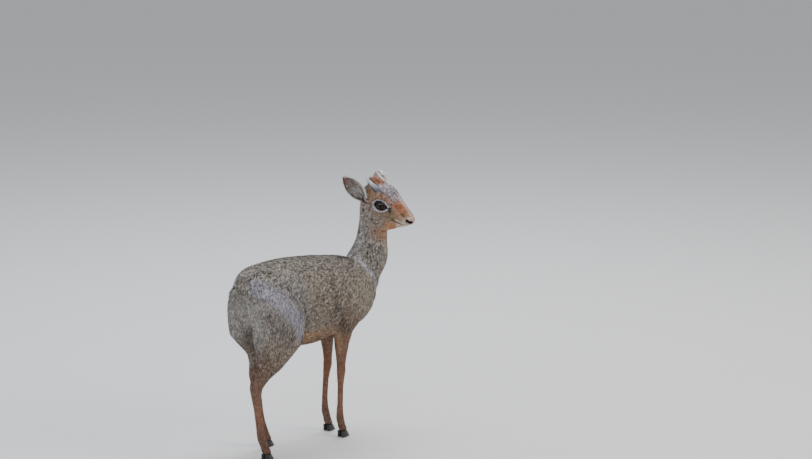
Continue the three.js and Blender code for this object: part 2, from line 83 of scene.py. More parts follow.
def setPoints(thing, points):
    thing.data.vertices.foreach_set("co", np.ascontiguousarray(points, dtype=np.float64).ravel())
    thing.data.update()


def setColours(mesh, name, colours):
    # one colour for each vertex, in an attribute that the material reads
    attribute = mesh.color_attributes.new(name, "FLOAT_COLOR", "POINT")
    rgba = np.c_[colours, np.ones(len(colours))]
    attribute.data.foreach_set("color", rgba.astype(np.float32).ravel())


def faceOutwards(thing):
    selectOnly(thing)
    bpy.ops.object.mode_set(mode="EDIT")
    bpy.ops.mesh.select_all(action="SELECT")
    bpy.ops.mesh.normals_make_consistent(inside=False)
    bpy.ops.object.mode_set(mode="OBJECT")


def smoothShade(thing):
    thing.data.polygons.foreach_set("use_smooth", np.ones(len(thing.data.polygons), dtype=bool))


def copyNodes(names, newName):
    # joins merged copies of CAD nodes; the nodes themselves are left alone
    copies = []
    for nodeName in names:
        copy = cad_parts[nodeName].copy()
        copy.data = copy.data.copy()
        bpy.context.collection.objects.link(copy)
        copy.parent = None
        copy.hide_render = False
        copy.matrix_world = Matrix.Identity(4)
        copies.append(copy)
    selectOnly(*copies)
    bpy.ops.object.mode_set(mode="EDIT")
    bpy.ops.mesh.select_all(action="SELECT")
    bpy.ops.mesh.remove_doubles(threshold=0.00002)
    bpy.ops.mesh.normals_make_consistent(inside=False)
    bpy.ops.object.mode_set(mode="OBJECT")
    bpy.ops.object.join()
    joined = bpy.context.object
    joined.name = newName
    joined.data.name = newName
    joined.data.materials.clear()
    for other in list(joined.data.attributes):
        if other.name.startswith("custom") or other.name == "UVMap":
            joined.data.attributes.remove(other)
    return joined


# where things are, in centimetres from the neck's root on the floor, as the part has them
trunkShift = np.array([10.4109, 2.0134, 0.0])
headPlace = {"at": (6.5, -4.5, 48.0), "turn": -81.0, "nod": 12.8, "roll": 7.0}
eyeSettings = {
    "ahead": 0.05, "aside": 1.51, "up": -0.25,
    "halfSizes": (1.65, 1.38, 1.45),
    "length": 3.0, "height": 1.86,  # the opening between the lids
    "looks": (0.26, 0.96, 0.1), "lengthwise": (1, -0.27, 0.05),  # of the left eye
}

headMatrix = (
    Matrix.Translation(Vector(headPlace["at"]) + Vector(trunkShift))
    @ Matrix.Rotation(math.radians(headPlace["turn"]), 4, "Z")
    @ Matrix.Rotation(math.radians(headPlace["nod"]), 4, "Y")
    @ Matrix.Rotation(math.radians(headPlace["roll"]), 4, "X")
)
headTurn = np.array(headMatrix.to_3x3())
headAt = np.array(headMatrix.translation)


def toWorld(headPoints):
    return (np.atleast_2d(headPoints) @ headTurn.T + headAt) / 100


def toHead(points):
    # metres in the part's frame to centimetres in the head's own frame
    return (np.atleast_2d(points) * 100 - headAt) @ headTurn


def toTrunk(points):
    return np.atleast_2d(points) * 100 - trunkShift


eyeCentres = {side: np.array([eyeSettings["ahead"], sign * eyeSettings["aside"], eyeSettings["up"]])
              for side, sign in (("left", 1), ("right", -1))}


def eyeAxes(side):
    # the way the eye looks, the opening's long axis and its short one, in the head's frame
    sign = 1 if side == "left" else -1
    look = np.array(eyeSettings["looks"]) * [1, sign, 1]
    look /= np.linalg.norm(look)
    along = np.array(eyeSettings["lengthwise"]) * [1, sign, 1]
    along -= look * along.dot(look)
    along /= np.linalg.norm(along)
    across = np.cross(look, along)
    across *= np.sign(across[2])
    return look, along, across


cameraSettings = {
    "trunkTurn": 45.0,  # the trunk points right and away from the camera
    "elevation": 13.5,
    "distance": 5.0,
    "looksAt": (-0.12, 0.0, 0.22),  # this point lies left of the middle and below it
    "seenAt": (307.9, 335.2),
    "focalPixels": 2444.5,
    "frame": (812, 459),
}


def addCamera(s):
    turn, rise = math.radians(s["trunkTurn"]), math.radians(s["elevation"])
    right = Vector((math.cos(turn), -math.sin(turn), 0))
    look = Vector((math.sin(turn) * math.cos(rise), math.cos(turn) * math.cos(rise), -math.sin(rise)))
    up = right.cross(look)
    place = Vector(s["looksAt"]) + Vector(trunkShift) / 100 - look * s["distance"]
    offRight = (s["frame"][0] / 2 - s["seenAt"][0]) / s["focalPixels"]
    offUp = (s["seenAt"][1] - s["frame"][1] / 2) / s["focalPixels"]
    aim = look + right * offRight + up * offUp
    bpy.ops.object.camera_add(location=place)
    camera = bpy.context.object
    camera.name = "camera"
    camera.rotation_euler = aim.to_track_quat("-Z", "Y").to_euler()
    camera.data.sensor_width = 36
    camera.data.lens = s["focalPixels"] / s["frame"][0] * 36
    camera.data.clip_end = 50
    bpy.context.scene.camera = camera
    return camera


def addNode(tree, kind, links=None, **settings):
    # one node with its settings; links names an input and what feeds it
    node = tree.nodes.new(kind)
    for key, value in settings.items():
        if key in node.bl_rna.properties:
            setattr(node, key, value)
        else:
            node.inputs[key.replace("_", " ")].default_value = value
    for socket, source in (links or {}).items():
        tree.links.new(source, node.inputs[socket])
    return node


def newMaterial(name):
    material = bpy.data.materials.new(name)
    material.use_nodes = True
    tree = material.node_tree
    tree.nodes.clear()
    return material, tree


def tintedMaterial(name, s):
    # the piece's own colour attribute, made lighter and darker by a fine noise
    material, tree = newMaterial(name)
    tint = addNode(tree, "ShaderNodeAttribute", attribute_name=s["attribute"])
    place = addNode(tree, "ShaderNodeTexCoord")
    fine = addNode(tree, "ShaderNodeTexNoise", {"Vector": place.outputs["Object"]},
                   Scale=s["scale"], Detail=s["detail"])
    (fromLow, fromHigh), (toLow, toHigh) = s["from"], s["to"]
    share = addNode(tree, "ShaderNodeMapRange", {"Value": fine.outputs[0]},
                    From_Min=fromLow, From_Max=fromHigh, To_Min=toLow, To_Max=toHigh)
    tone = addNode(tree, "ShaderNodeVectorMath", {0: tint.outputs["Color"]}, operation="SCALE")
    tree.links.new(share.outputs[0], tone.inputs["Scale"])
    shader = addNode(tree, "ShaderNodeBsdfPrincipled", {"Base Color": tone.outputs[0]}, **s["finish"])
    if "bump" in s:
        strength, distance = s["bump"]
        bump = addNode(tree, "ShaderNodeBump", {"Height": fine.outputs[0]}, Strength=strength, Distance=distance)
        tree.links.new(bump.outputs[0], shader.inputs["Normal"])
    addNode(tree, "ShaderNodeOutputMaterial", {"Surface": shader.outputs[0]})
    return material


def grainedMaterial(name, s):
    # two tones of one noise, which also lifts the surface, and may shade or scuff it
    material, tree = newMaterial(name)
    place = addNode(tree, "ShaderNodeTexCoord")
    fine = addNode(tree, "ShaderNodeTexNoise", {"Vector": place.outputs["Object"]},
                   Scale=s["scale"], Detail=s["detail"])
    ramp = addNode(tree, "ShaderNodeValToRGB", {"Fac": fine.outputs[0]})
    for element, colour in zip(ramp.color_ramp.elements, s["tones"]):
        element.color = (*linear(colour), 1)
    strength, distance = s["bump"]
    bump = addNode(tree, "ShaderNodeBump", {"Height": fine.outputs[0]}, Strength=strength, Distance=distance)
    shader = addNode(tree, "ShaderNodeBsdfPrincipled", {"Base Color": ramp.outputs[0], "Normal": bump.outputs[0]},
                     **s["finish"])
    if "attribute" in s:
        shade = addNode(tree, "ShaderNodeAttribute", attribute_name=s["attribute"])
        tone = addNode(tree, "ShaderNodeVectorMath", {0: ramp.outputs[0], 1: shade.outputs["Color"]},
                       operation="MULTIPLY")
        tree.links.new(tone.outputs[0], shader.inputs["Base Color"])
    if "scuffed" in s:
        rough = addNode(tree, "ShaderNodeMapRange", {"Value": fine.outputs[0]},
                        To_Min=s["scuffed"][0], To_Max=s["scuffed"][1])
        tree.links.new(rough.outputs[0], shader.inputs["Roughness"])
    addNode(tree, "ShaderNodeOutputMaterial", {"Surface": shader.outputs[0]})
    return material


floorSettings = {"size": 60.0, "colour": "#d6d4cf", "roughness": 0.9}


def addFloor(s):
    # matt painted board: even and pale, so that the soft shadow shows
    material, tree = newMaterial("paintedBoard")
    shader = addNode(tree, "ShaderNodeBsdfPrincipled", Base_Color=(*linear(s["colour"]), 1), Roughness=s["roughness"])
    addNode(tree, "ShaderNodeOutputMaterial", {"Surface": shader.outputs[0]})
    bpy.ops.mesh.primitive_plane_add(size=s["size"], location=(0, 0, -0.0005))
    floor = bpy.context.object
    floor.name = "floor"
    floor.data.materials.append(material)


def glintPlace():
    # where a soft light mirrors in the near eye as the camera sees it, high and to the back of the pupil
    look = headTurn @ eyeAxes("right")[0]
    bulgeUp = headTurn @ np.array([-0.22, -0.1, 0.3])
    normal = look + bulgeUp
    normal /= np.linalg.norm(normal)
    turn, rise = math.radians(cameraSettings["trunkTurn"]), math.radians(cameraSettings["elevation"])
    toCamera = -np.array([math.sin(turn) * math.cos(rise), math.cos(turn) * math.cos(rise), -math.sin(rise)])
    mirrored = 2 * normal.dot(toCamera) * normal - toCamera
    return tuple(toWorld(eyeCentres["right"])[0] + mirrored * 2.2)


eyeGlint = glintPlace()
lightSettings = {
    "world": {"colour": "#e2e8f0", "strength": 0.75},
    "areas": [  # name, place, aimed at, size, watts, colour
        ("overhead", (0.9, 0.7, 2.9), (0, 0, 0.25), 2.2, 105, "#eef3ff"),
        ("frontRight", (1.4, -2.9, 2.0), (0, 0, 0.3), 1.5, 58, "#fff3e4"),
        ("leftFill", (-3.0, -1.2, 1.7), (0, 0, 0.25), 1.8, 30, "#e8eeff"),
        ("eyeGlint", eyeGlint, (0.12, -0.1, 0.48), 0.55, 9, "#dfe9ff"),
    ],
}


def addLights(s):
    world = bpy.data.worlds.new("studio")
    world.use_nodes = True
    background = world.node_tree.nodes["Background"]
    background.inputs["Color"].default_value = (*linear(s["world"]["colour"]), 1)
    background.inputs["Strength"].default_value = s["world"]["strength"]
    bpy.context.scene.world = world
    for name, place, target, size, watts, colour in s["areas"]:
        bpy.ops.object.light_add(type="AREA", location=place)
        light = bpy.context.object
        light.name = name
        light.rotation_euler = (Vector(target) - Vector(place)).to_track_quat("-Z", "Y").to_euler()
        light.data.size = size
        light.data.energy = watts
        light.data.color = linear(colour)


addCamera(cameraSettings)
addFloor(floorSettings)
addLights(lightSettings)
print("stage: camera, floor and lights are set")


# the coat's plan: how it lies, how long it is and what colour it has, place by place
coatColours = {
    "saddle": "#8d8272", "side": "#8f8473", "flank": "#7d6f5e", "rump": "#8b8478", "thigh": "#85807c",
    "belly": "#b08355", "breast": "#8a7c6e", "elbow": "#5f4533", "arm": "#745340", "shin": "#82583f",
    "foot": "#6a4834", "nape": "#8a8480", "neck": "#857d75", "neckFront": "#8d7d6e", "bridge": "#b2693f",
    "muzzle": "#a98566", "noseTip": "#c9a798", "forehead": "#a199a3", "crown": "#b0703c", "cheek": "#83694a",
    "temple": "#8b6646", "lip": "#d2bfa8", "throat": "#bf7a42", "jaw": "#7a6148",
}

# place in cm (mirrored to the other side), lie, length and depth in mm, colour, how grizzled, reach in cm
trunkPlan = [
    ((0, 0, 37.6), (-1, 0, -0.1), 9, 3.6, "saddle", 1.0, 3.2),
    ((-8, 0, 38.4), (-1, 0, -0.05), 9, 3.8, "saddle", 1.0, 3.2),
    ((-16, 0, 39.3), (-1, 0, -0.05), 9, 3.8, "saddle", 1.0, 3.2),
    ((-24, 0, 39.4), (-1, 0, -0.1), 9, 3.8, "saddle", 1.0, 3.2),
    ((-30, 0, 37.5), (-0.6, 0, -0.8), 9, 3.6, "rump", 0.9, 2.4),
    ((-4, 4.6, 33.5), (-0.8, 0, -0.5), 9, 3.6, "side", 1.0, 3.0),
    ((-11, 5.2, 33), (-0.95, 0, -0.3), 9, 3.8, "side", 1.0, 3.0),
    ((-9, 4.6, 27.5), (-0.93, 0, -0.35), 9, 3.6, "flank", 0.9, 2.8),
    ((-16, 5.6, 27), (-0.93, 0, -0.3), 9, 3.6, "flank", 0.9, 2.8),
    ((-9, 1.5, 21.6), (-1, 0, -0.1), 8, 3.2, "belly", 0.55, 2.3),
    ((-16, 2, 21.4), (-1, 0, -0.1), 8, 3.2, "belly", 0.5, 2.5),
    ((5.5, 0, 28.5), (-0.15, 0, -1), 8, 3.2, "breast", 0.9, 3.0),
    ((0, 0, 23), (-0.8, 0, -0.6), 8, 3.0, "flank", 0.7, 2.5),
    ((1, 4.4, 29), (-0.3, 0, -0.95), 8, 3.2, "side", 0.95, 2.6),
    ((-5.5, 4.6, 24.6), (-0.2, 0, -1), 6, 2.2, "elbow", 0.35, 2.0),
    ((-22, 6.6, 34), (-0.45, 0, -0.88), 9, 3.6, "thigh", 0.75, 2.6),
    ((-25, 7.0, 29), (-0.3, 0, -0.95), 9, 3.6, "thigh", 0.7, 2.6),
    ((-18.6, 5.4, 28), (-0.25, 0, -0.97), 9, 3.4, "thigh", 0.7, 2.0),
    ((-30.5, 3.4, 31), (-0.05, 0, -1), 9, 3.4, "rump", 0.75, 2.6),
    ((-25, 6.2, 23), (-0.5, 0, -0.87), 8, 3.2, "flank", 0.85, 2.4),
    ((-29, 5.2, 19), (-0.5, 0, -0.87), 6, 2.4, "elbow", 0.6, 2.0),
    ((-31, 4.2, 15), (0.05, 0, -1), 4, 1.4, "arm", 0.3, 1.8),
    ((-30.2, 4, 10), (0.12, 0, -1), 3.4, 1.0, "shin", 0.25, 2.4),
    ((-28.6, 4, 4), (0.25, 0, -1), 3.4, 1.0, "foot", 0.3, 2.0),
    ((-24, 4, 12), (0.12, 0, -1), 3.4, 1.0, "shin", 0.25, 2.0),
    ((-21.6, 4, 4), (0.25, 0, -1), 3.4, 1.0, "foot", 0.3, 2.0),
    ((-5.6, 4, 20), (0, 0, -1), 4.6, 1.5, "arm", 0.3, 2.2),
    ((-6, 3.3, 14), (0, 0, -1), 3.4, 1.1, "shin", 0.25, 2.0),
    ((-6, 3, 8), (0, 0, -1), 3.2, 1.0, "shin", 0.25, 2.2),
    ((-5.4, 3, 3), (0.2, 0, -1), 3.2, 1.0, "foot", 0.3, 1.8),
    ((1.2, 0, 39.6), (-0.55, 0, -0.83), 9, 3.4, "nape", 1.0, 2.2),
    ((4, 3, 36.5), (-0.35, 0, -0.93), 8, 3.2, "neck", 1.0, 2.4),
    ((8.6, 0, 33.5), (-0.12, 0, -1), 8, 3.2, "neckFront", 0.95, 2.4),
    ((3.8, 0, 44.5), (-0.12, 0, -1), 8, 3.0, "nape", 1.0, 2.0),
    ((6.6, 2.6, 41), (-0.12, 0, -1), 8, 2.8, "neck", 1.0, 2.0),
    ((9.6, -1, 38.8), (-0.1, 0, -1), 7, 2.6, "neckFront", 0.8, 1.8),
]
# the same for the head, in its own frame
headPlan = [
    ((7.0, 0, -1.8), (-1, 0, 0.5), 1.2, 0.3, "noseTip", 0.1, 0.55),
    ((6.2, 0, -0.9), (-1, 0, 0.35), 1.6, 0.4, "muzzle", 0.2, 0.6),
    ((4.4, 0, 0.4), (-1, 0, 0.35), 2.4, 0.6, "bridge", 0.3, 0.8),
    ((2.4, 0, 2.3), (-1, 0, 0.35), 3.0, 0.8, "forehead", 1.1, 0.8),
    ((0.8, 0, 3.5), (-1, 0, 0.15), 3.6, 1.0, "forehead", 1.15, 1.0),
    ((0.2, 1.3, 3.1), (-1, 0, 0.1), 3.4, 0.9, "forehead", 1.0, 0.7),
    ((-1.3, 1.2, 3.2), (-1, 0, 0.1), 3.4, 0.9, "forehead", 1.0, 0.5),
    ((-2.1, 0, 3.7), (-1, 0, 0.1), 6, 1.4, "crown", 0.4, 0.6),
    ((-3.8, 0, 2.9), (-1, 0, -0.3), 8, 2.0, "temple", 0.6, 1.0),
    ((-5.4, 0, 0.8), (-0.6, 0, -0.8), 7, 2.2, "nape", 0.9, 1.3),
    ((0.4, 2.4, 2.0), (-1, 0, 0.1), 3.2, 0.9, "temple", 0.5, 0.7),
    ((-2.2, 2.6, 1.2), (-1, 0, -0.2), 4.2, 1.2, "temple", 0.5, 0.9),
    ((-0.6, 2.4, -2.6), (-0.93, 0, -0.35), 3.6, 1.0, "cheek", 0.45, 1.1),
    ((-3.4, 2.2, -2.4), (-0.75, 0, -0.65), 4.8, 1.4, "jaw", 0.6, 1.1),
    ((2.4, 1.9, -1.8), (-1, 0, -0.15), 2.6, 0.7, "cheek", 0.3, 0.8),
    ((4.2, 1.4, -1.4), (-1, 0, -0.05), 2.0, 0.5, "muzzle", 0.25, 0.7),
    ((4.0, 1.5, -2.5), (-1, 0, -0.15), 1.8, 0.5, "cheek", 0.25, 0.6),
    ((6.0, 1.1, -2.4), (-1, 0, -0.1), 1.2, 0.3, "lip", 0.1, 0.45),
    ((5.2, 0.5, -3.5), (-1, 0, -0.2), 2.0, 0.5, "lip", 0.1, 0.7),
    ((2.2, 0.5, -5.2), (-1, 0, -0.3), 4.0, 1.0, "throat", 0.15, 0.9),
    ((-0.6, 0.6, -6.6), (-0.8, 0, -0.6), 5.0, 1.4, "throat", 0.25, 1.1),
    ((-0.5, 1.9, -5.0), (-0.8, 0, -0.6), 4.6, 1.3, "jaw", 0.5, 1.0),
    ((-3.4, 2.2, -6.4), (-0.7, 0, -0.7), 6.0, 1.8, "neck", 0.9, 1.1),
    ((-4.3, 1.6, -1.6), (-0.7, 0, -0.7), 4.6, 1.4, "jaw", 0.5, 0.8),
    ((-3.0, 2.1, -4.2), (-0.7, 0, -0.7), 4.8, 1.5, "jaw", 0.5, 0.9),
]


def gatherPlan():
    # both plans as rows in metres in the part's frame, with each place repeated on the other side
    rows = []
    for plan, onHead in ((trunkPlan, False), (headPlan, True)):
        for (x, y, z), lie, length, depth, colour, grizzle, reach in plan:
            for side in ((1, -1) if y else (1,)):
                place = np.array([x, y * side, z])
                way = np.array(lie, float)
                place = toWorld(place)[0] if onHead else (place + trunkShift) / 100
                way = headTurn @ way if onHead else way
                rows.append((place, way, length, depth, linear(coatColours[colour]), grizzle, reach))
    return rows


planRows = gatherPlan()


def coatAt(points):
    # the plan's values blended at each point, the nearest places counting most
    place = np.array([r[0] for r in planRows])
    reach = np.array([r[6] for r in planRows]) / 100
    values = np.array([np.r_[r[1], r[2], r[3], r[4], r[5]] for r in planRows])
    out = np.empty((len(points), values.shape[1]))
    for start in range(0, len(points), 20000):
        part = points[start:start + 20000]
        apart = np.linalg.norm(part[:, None] - place[None], axis=2) / reach
        weight = np.exp(-0.5 * apart ** 2) + 1e-7 / (1e-3 + apart ** 4)
        weight /= weight.sum(1, keepdims=True)
        out[start:start + 20000] = weight @ values
    return out


def grain(points, scale, seed=0):
    # soft repeatable noise from sines, between about -1 and 1
    rng = np.random.default_rng(seed)
    total = np.zeros(len(points))
    for _ in range(6):
        way = rng.normal(size=3)
        way /= np.linalg.norm(way)
        total += np.sin(points @ way / scale * 2 * math.pi * rng.uniform(0.7, 1.4) + rng.uniform(0, 6.28))
    return total / 2.6


def mix(colours, other, share):
    return colours * (1 - share[:, None]) + np.array(other)[None] * share[:, None]


def fromPath(points, path):
    # distance of each point from a line through the places
    path = np.array(path, float)
    nearest = np.full(len(points), 1e9)
    for a, b in zip(path[:-1], path[1:]):
        along = b - a
        t = np.clip((points - a) @ along / along.dot(along), 0, 1)
        nearest = np.minimum(nearest, np.linalg.norm(points - a - t[:, None] * along, axis=1))
    return nearest


# marks on the trunk: line through places in cm (mirrored), half width in cm, colour, strength
trunkMarks = [
    # painted highlight: the sky's blue-grey sheen along the top of the thigh
    ([(-28.9, 3.4, 35.8), (-27.3, 4.7, 34.4), (-25.3, 6.3, 32.4), (-22.5, 6.8, 30.0), (-20.6, 6.5, 27.6),
      (-19.8, 6.3, 24.8)], 1.9, "#a4a1b0", 0.75),
    # painted shade in the crease above the thigh, below the hip
    ([(-29.1, 1.8, 37.8), (-25.4, 2.6, 38.1), (-23.5, 4.2, 36.6), (-23.1, 5.2, 35.2)], 0.5, "#2a221c", 0.75),
    # painted shade in the crease along the thigh's front edge
    ([(-23.0, 5.3, 35.1), (-21.3, 6.1, 33.5), (-19.2, 6.0, 31.1), (-17.9, 5.9, 28.1), (-17.6, 5.3, 25.2)],
     0.6, "#3a2f27", 0.65),
    ([(-28.6, 6.2, 29.8), (-26.2, 6.7, 27.2), (-23.9, 6.7, 24.8)], 2.0, "#40362f", 0.5),
    ([(-10.7, 5.3, 33.8), (-10.2, 5.8, 31.0)], 1.5, "#4a3c30", 0.5),
    ([(-9.2, 5.9, 28.6), (-8.0, 5.7, 26.2), (-6.6, 5.5, 23.8)], 1.35, "#3c2a1e", 0.62),
    ([(-17.6, 5.2, 23.8), (-14.0, 5.4, 23.4), (-10.6, 5.4, 23.6)], 1.4, "#a57b4f", 0.62),
    # painted highlight: a pale blue-white streak down the front of the shoulder
    ([(1.7, 1.0, 37.1), (1.4, 2.0, 36.4), (1.6, 2.9, 35.6), (2.1, 4.0, 34.1), (3.1, 4.0, 32.5), (3.9, 3.9, 30.4)],
     0.55, "#ccd1dc", 0.62),
    ([(3.4, 2.6, 37.4), (4.4, 3.6, 35.3), (5.4, 3.4, 33.0)], 0.9, "#4b433c", 0.45),
    ([(-6.9, 4.4, 18.0), (-5.9, 3.4, 13.6), (-5.9, 3.2, 6.0)], 0.5, "#6b442d", 0.4),
]
# the same for the head, in its own frame
headMarks = [
    ([(-1.2, 2.25, 1.9), (0.3, 2.2, 1.75), (1.5, 1.85, 1.4)], 0.75, "#9c6b48", 0.6),
    ([(1.6, 1.75, 1.25), (3.2, 1.25, 0.6), (4.4, 1.15, -0.2), (5.2, 1.1, -0.75)], 0.5, "#a85f35", 0.7),
    ([(-1.0, 1.8, 2.75), (0.25, 1.85, 2.35), (1.35, 1.6, 1.95)], 0.14, "#3d3136", 0.7),
    # pale line along the top of the nose: paler hair with a painted highlight on the ridge
    ([(2.8, 0.0, 2.05), (4.0, 0.0, 0.95), (5.2, 0.0, 0.05), (6.4, 0.0, -0.9)], 0.42, "#e0c6bc", 0.75),
    ([(5.0, 1.25, -0.95), (5.5, 1.15, -1.2)], 0.3, "#4a3226", 0.6),
    ([(4.7, 1.3, -1.5), (5.3, 1.22, -1.6)], 0.32, "#d0a884", 0.7),
    # painted shade in the crease behind the nose's wing
    ([(6.1, 1.12, -1.7), (6.0, 1.12, -2.2), (6.3, 0.98, -2.6)], 0.14, "#2b1d18", 0.75),
    ([(6.35, 0.9, -1.5), (6.8, 0.45, -1.3), (6.95, 0.0, -1.3)], 0.3, "#e3c9bb", 0.8),
    ([(3.8, 1.45, -2.47), (5.2, 1.25, -2.57), (6.2, 0.98, -2.62)], 0.14, "#dccbb6", 0.7),
    ([(3.8, 1.0, -3.5), (4.8, 0.85, -3.55), (5.7, 0.55, -3.4)], 0.2, "#decab2", 0.75),
    # painted shade along the back edge of the jaw, between cheek and throat
    ([(-4.1, 2.0, -2.3), (-3.4, 2.1, -4.2), (-2.0, 2.3, -6.2)], 0.35, "#35271c", 0.7),
    ([(-2.0, 2.55, -0.4), (-2.1, 2.5, -2.0)], 0.35, "#5b4129", 0.5),
    ([(-3.6, 2.7, 0.6), (-3.2, 2.6, -0.3)], 0.42, "#c9c5c2", 0.75),
    ([(-2.6, 2.7, 1.7), (-2.9, 2.75, 0.9)], 0.28, "#c07a4a", 0.7),
]
nostrilLine = [(6.95, 0.46, -2.17), (6.8, 0.74, -2.15), (6.5, 0.96, -2.02), (6.3, 1.05, -1.84)]
# seen from the side: the slit of the solids' mouth, and the line of the mouth as the photo has it
slitLine = [(2.5, -2.52), (4.0, -2.76), (5.2, -2.87), (6.1, -2.9), (8.0, -2.86)]
mouthLine = [(2.7, -2.72), (3.3, -2.98), (4.0, -3.12), (4.8, -3.17),
             (5.6, -3.1), (6.2, -2.98), (6.6, -2.86), (8.0, -2.7)]


def markings(points, base):
    # the marks that have an edge, drawn over the blended coat colours
    colours = base.copy()
    ragged = 0.11 * np.stack([grain(points, 0.004, n) for n in (21, 22, 23)], 1)
    body = toTrunk(points) + ragged
    body[:, 1] = np.abs(body[:, 1])
    low = points[:, 2] < 0.41
    for path, width, colour, strength in trunkMarks:
        share = np.zeros(len(points))
        share[low] = strength * (1 - step(fromPath(body[low], path), width * 0.45, width * 1.35))
        colours = mix(colours, linear(colour), share)
    head = toHead(points)
    near = np.linalg.norm(head - np.array([0, 0, -0.5]), axis=1) < 9  # cm round the skull
    if not near.any():
        return colours
    face = head[near] + 0.35 * ragged[near]
    face[:, 1] = np.abs(face[:, 1])
    shades = colours[near]
    for path, width, colour, strength in headMarks:
        shades = mix(shades, linear(colour), strength * (1 - step(fromPath(face, path), width * 0.5, width * 1.3)))
    exact = head[near].copy()
    exact[:, 1] = np.abs(exact[:, 1])
    # the dark line of the mouth is painted shade between the lips
    shades = mix(shades, linear("#1a100c"), 0.97 * (1 - step(fromPath(exact[:, [0, 2]], mouthLine), 0.075, 0.15)))
    look, along, across = eyeAxes("left")
    gap = exact - eyeCentres["left"]
    u, v, w = gap @ along, gap @ across, gap @ look
    facing = w > 0
    # the pale ring is narrow above and behind, and widest below the front corner
    wide = 0.25 + 0.24 * step(-v, -0.2, 0.8) + 0.14 * step(u, 0.2, 1.6)
    outside = almondDistance(u, v) + 0.03 * ragged[near][:, 0]
    ring = facing * (1 - step(outside, wide * 0.72, wide * 1.12))
    shades = mix(shades, linear("#c9cbd3"), ring * np.clip(0.84 + 0.16 * grain(points[near], 0.0022, 31), 0.5, 1))
    shades = mix(shades, linear("#100c0b"), facing * (1 - step(outside, 0.07, 0.16)))
    duct = fromPath(np.c_[u, v], [(1.45, -0.18), (1.95, -0.28), (2.3, -0.2)])
    shades = mix(shades, linear("#0f0c0b"), facing * (1 - step(duct, 0.08, 0.2)))
    spot = np.sqrt(((exact[:, 0] - 2.48) / 0.4) ** 2 + ((exact[:, 2] + 0.85) / 0.58) ** 2)
    shades = mix(shades, linear("#0d0a0a"), (exact[:, 1] > 1.2) * (1 - step(spot, 0.7, 1.1)))
    # painted shade in the nostrils' openings, drawn as black crescents
    nostril = fromPath(exact, nostrilLine)
    shades = mix(shades, linear("#0e0a0a"), 1 - step(nostril, 0.25, 0.36))
    colours[near] = shades
    return colours


def almondDistance(u, v):
    # how far a place on the eye's plane lies outside the opening, in cm (negative inside)
    s = eyeSettings
    taper = np.where(u > 0, 1 - 0.25 * np.clip(u / (s["length"] / 2), 0, 1) ** 2, 1)
    shape = np.hypot(u / (s["length"] / 2), v / (s["height"] / 2 * taper))
    return (shape - 1) * np.hypot(u, v) / np.maximum(shape, 1e-3)


fleshNodes = ["torso", "neck", "tail", "head"]
for side in ("right", "left"):
    fleshNodes += [f"{part}_{side}" for part in
                   ("thigh", "shank", "forearm", "cannon_fore", "cannon_hind", "pastern_fore", "pastern_hind")]

skinSettings = {
    "seamHeight": 0.392,  # the head's finer skin starts here, low on the throat
    "overlap": 0.008,
    "bodyVoxel": 0.0021,
    "headVoxel": 0.00095,
    "bodySmooth": 30,
    "junctionSmooth": 160,
    "headSmooth": 10,
    "grow": 0.00035,  # closes the thin gaps between nodes
    "cutSpare": 0.004,
    "backEndsAt": 0.009,  # ahead of this, nothing of the back is in the head's skin
    "socketFill": {"halfSizes": (2.2, 1.55, 1.85), "aside": 1.35, "up": -0.15},  # cm in the head's frame
}


def cutAway(thing, place, way, keepAhead=True):
    # drops what lies on one side of a plane and closes the cut
    selectOnly(thing)
    bpy.ops.object.mode_set(mode="EDIT")
    bpy.ops.mesh.select_all(action="SELECT")
    bpy.ops.mesh.bisect(plane_co=place, plane_no=way, use_fill=True, clear_inner=keepAhead, clear_outer=not keepAhead)
    bpy.ops.object.mode_set(mode="OBJECT")


def fillSockets(skin):
    # the lids are modelled afresh over a whole swelling, so the sockets are filled first
    fill = skinSettings["socketFill"]
    swellings = [skin]
    for side, sign in (("left", 1), ("right", -1)):
        bpy.ops.object.select_all(action="DESELECT")
        bpy.ops.mesh.primitive_uv_sphere_add(segments=48, ring_count=32, radius=1)
        ball = bpy.context.object
        setPoints(ball, toWorld(pointsOf(ball) * fill["halfSizes"] + [0, sign * fill["aside"], fill["up"]]))
        faceOutwards(ball)
        swellings.append(ball)
    selectOnly(*swellings)
    bpy.ops.object.join()
    return bpy.context.object


def featureCalm(points):
    # 1 where the skin may be smoothed fully, less round the eyes and round the nose, which takes in the nostrils and
    # the front of the mouth
    head = toHead(points)
    calm = np.ones(len(points))
    for side in ("left", "right"):
        d = np.linalg.norm(head - eyeCentres[side], axis=1)
        calm = np.minimum(calm, 0.2 + 0.8 * step(d, 1.9, 2.6))
    nose = np.linalg.norm(head - np.array([7.0, 0, -2.1]), axis=1)
    calm = np.minimum(calm, 0.15 + 0.85 * step(nose, 0.9, 1.5))
    return calm


def weightGroup(thing, name, weights):
    group = thing.vertex_groups.new(name=name)
    levels = np.round(np.clip(weights, 0, 1) * 40).astype(int)
    for level in np.unique(levels):
        group.add(np.nonzero(levels == level)[0].tolist(), float(level) / 40, "REPLACE")


def junction(points):
    # 1 where neck, withers and shoulders run into each other
    body = toTrunk(points)
    neckRoot = 1 - step(np.abs(body @ np.array([0.743, 0, 0.669]) - 22.0), 1.6, 5.0)
    haunch = 0.35 * step(body[:, 2], 18, 21) * (1 - step(body[:, 2], 30, 34)) * (1 - step(body[:, 0], -24, -18))
    return neckRoot * step(body[:, 2], 21, 26) * step(body[:, 0], -12, -8) + haunch


# what is raised or sunk on the body: rise, line through places (mirrored) and spread, all in cm
bodyFolds = [
    (0.5, [(2.4, 4.3, 32.9), (4.6, 2.9, 31.6), (5.4, 0, 31.2)], 1.5),
    (-0.3, [(4.6, 3.6, 28.2), (6.0, 0, 28.0)], 1.8),
    (-0.1, [(-23.5, 4.2, 36.6), (-22.0, 5.9, 34.0), (-19.4, 6.0, 31.1), (-17.9, 5.9, 28.1)], 0.45),
]
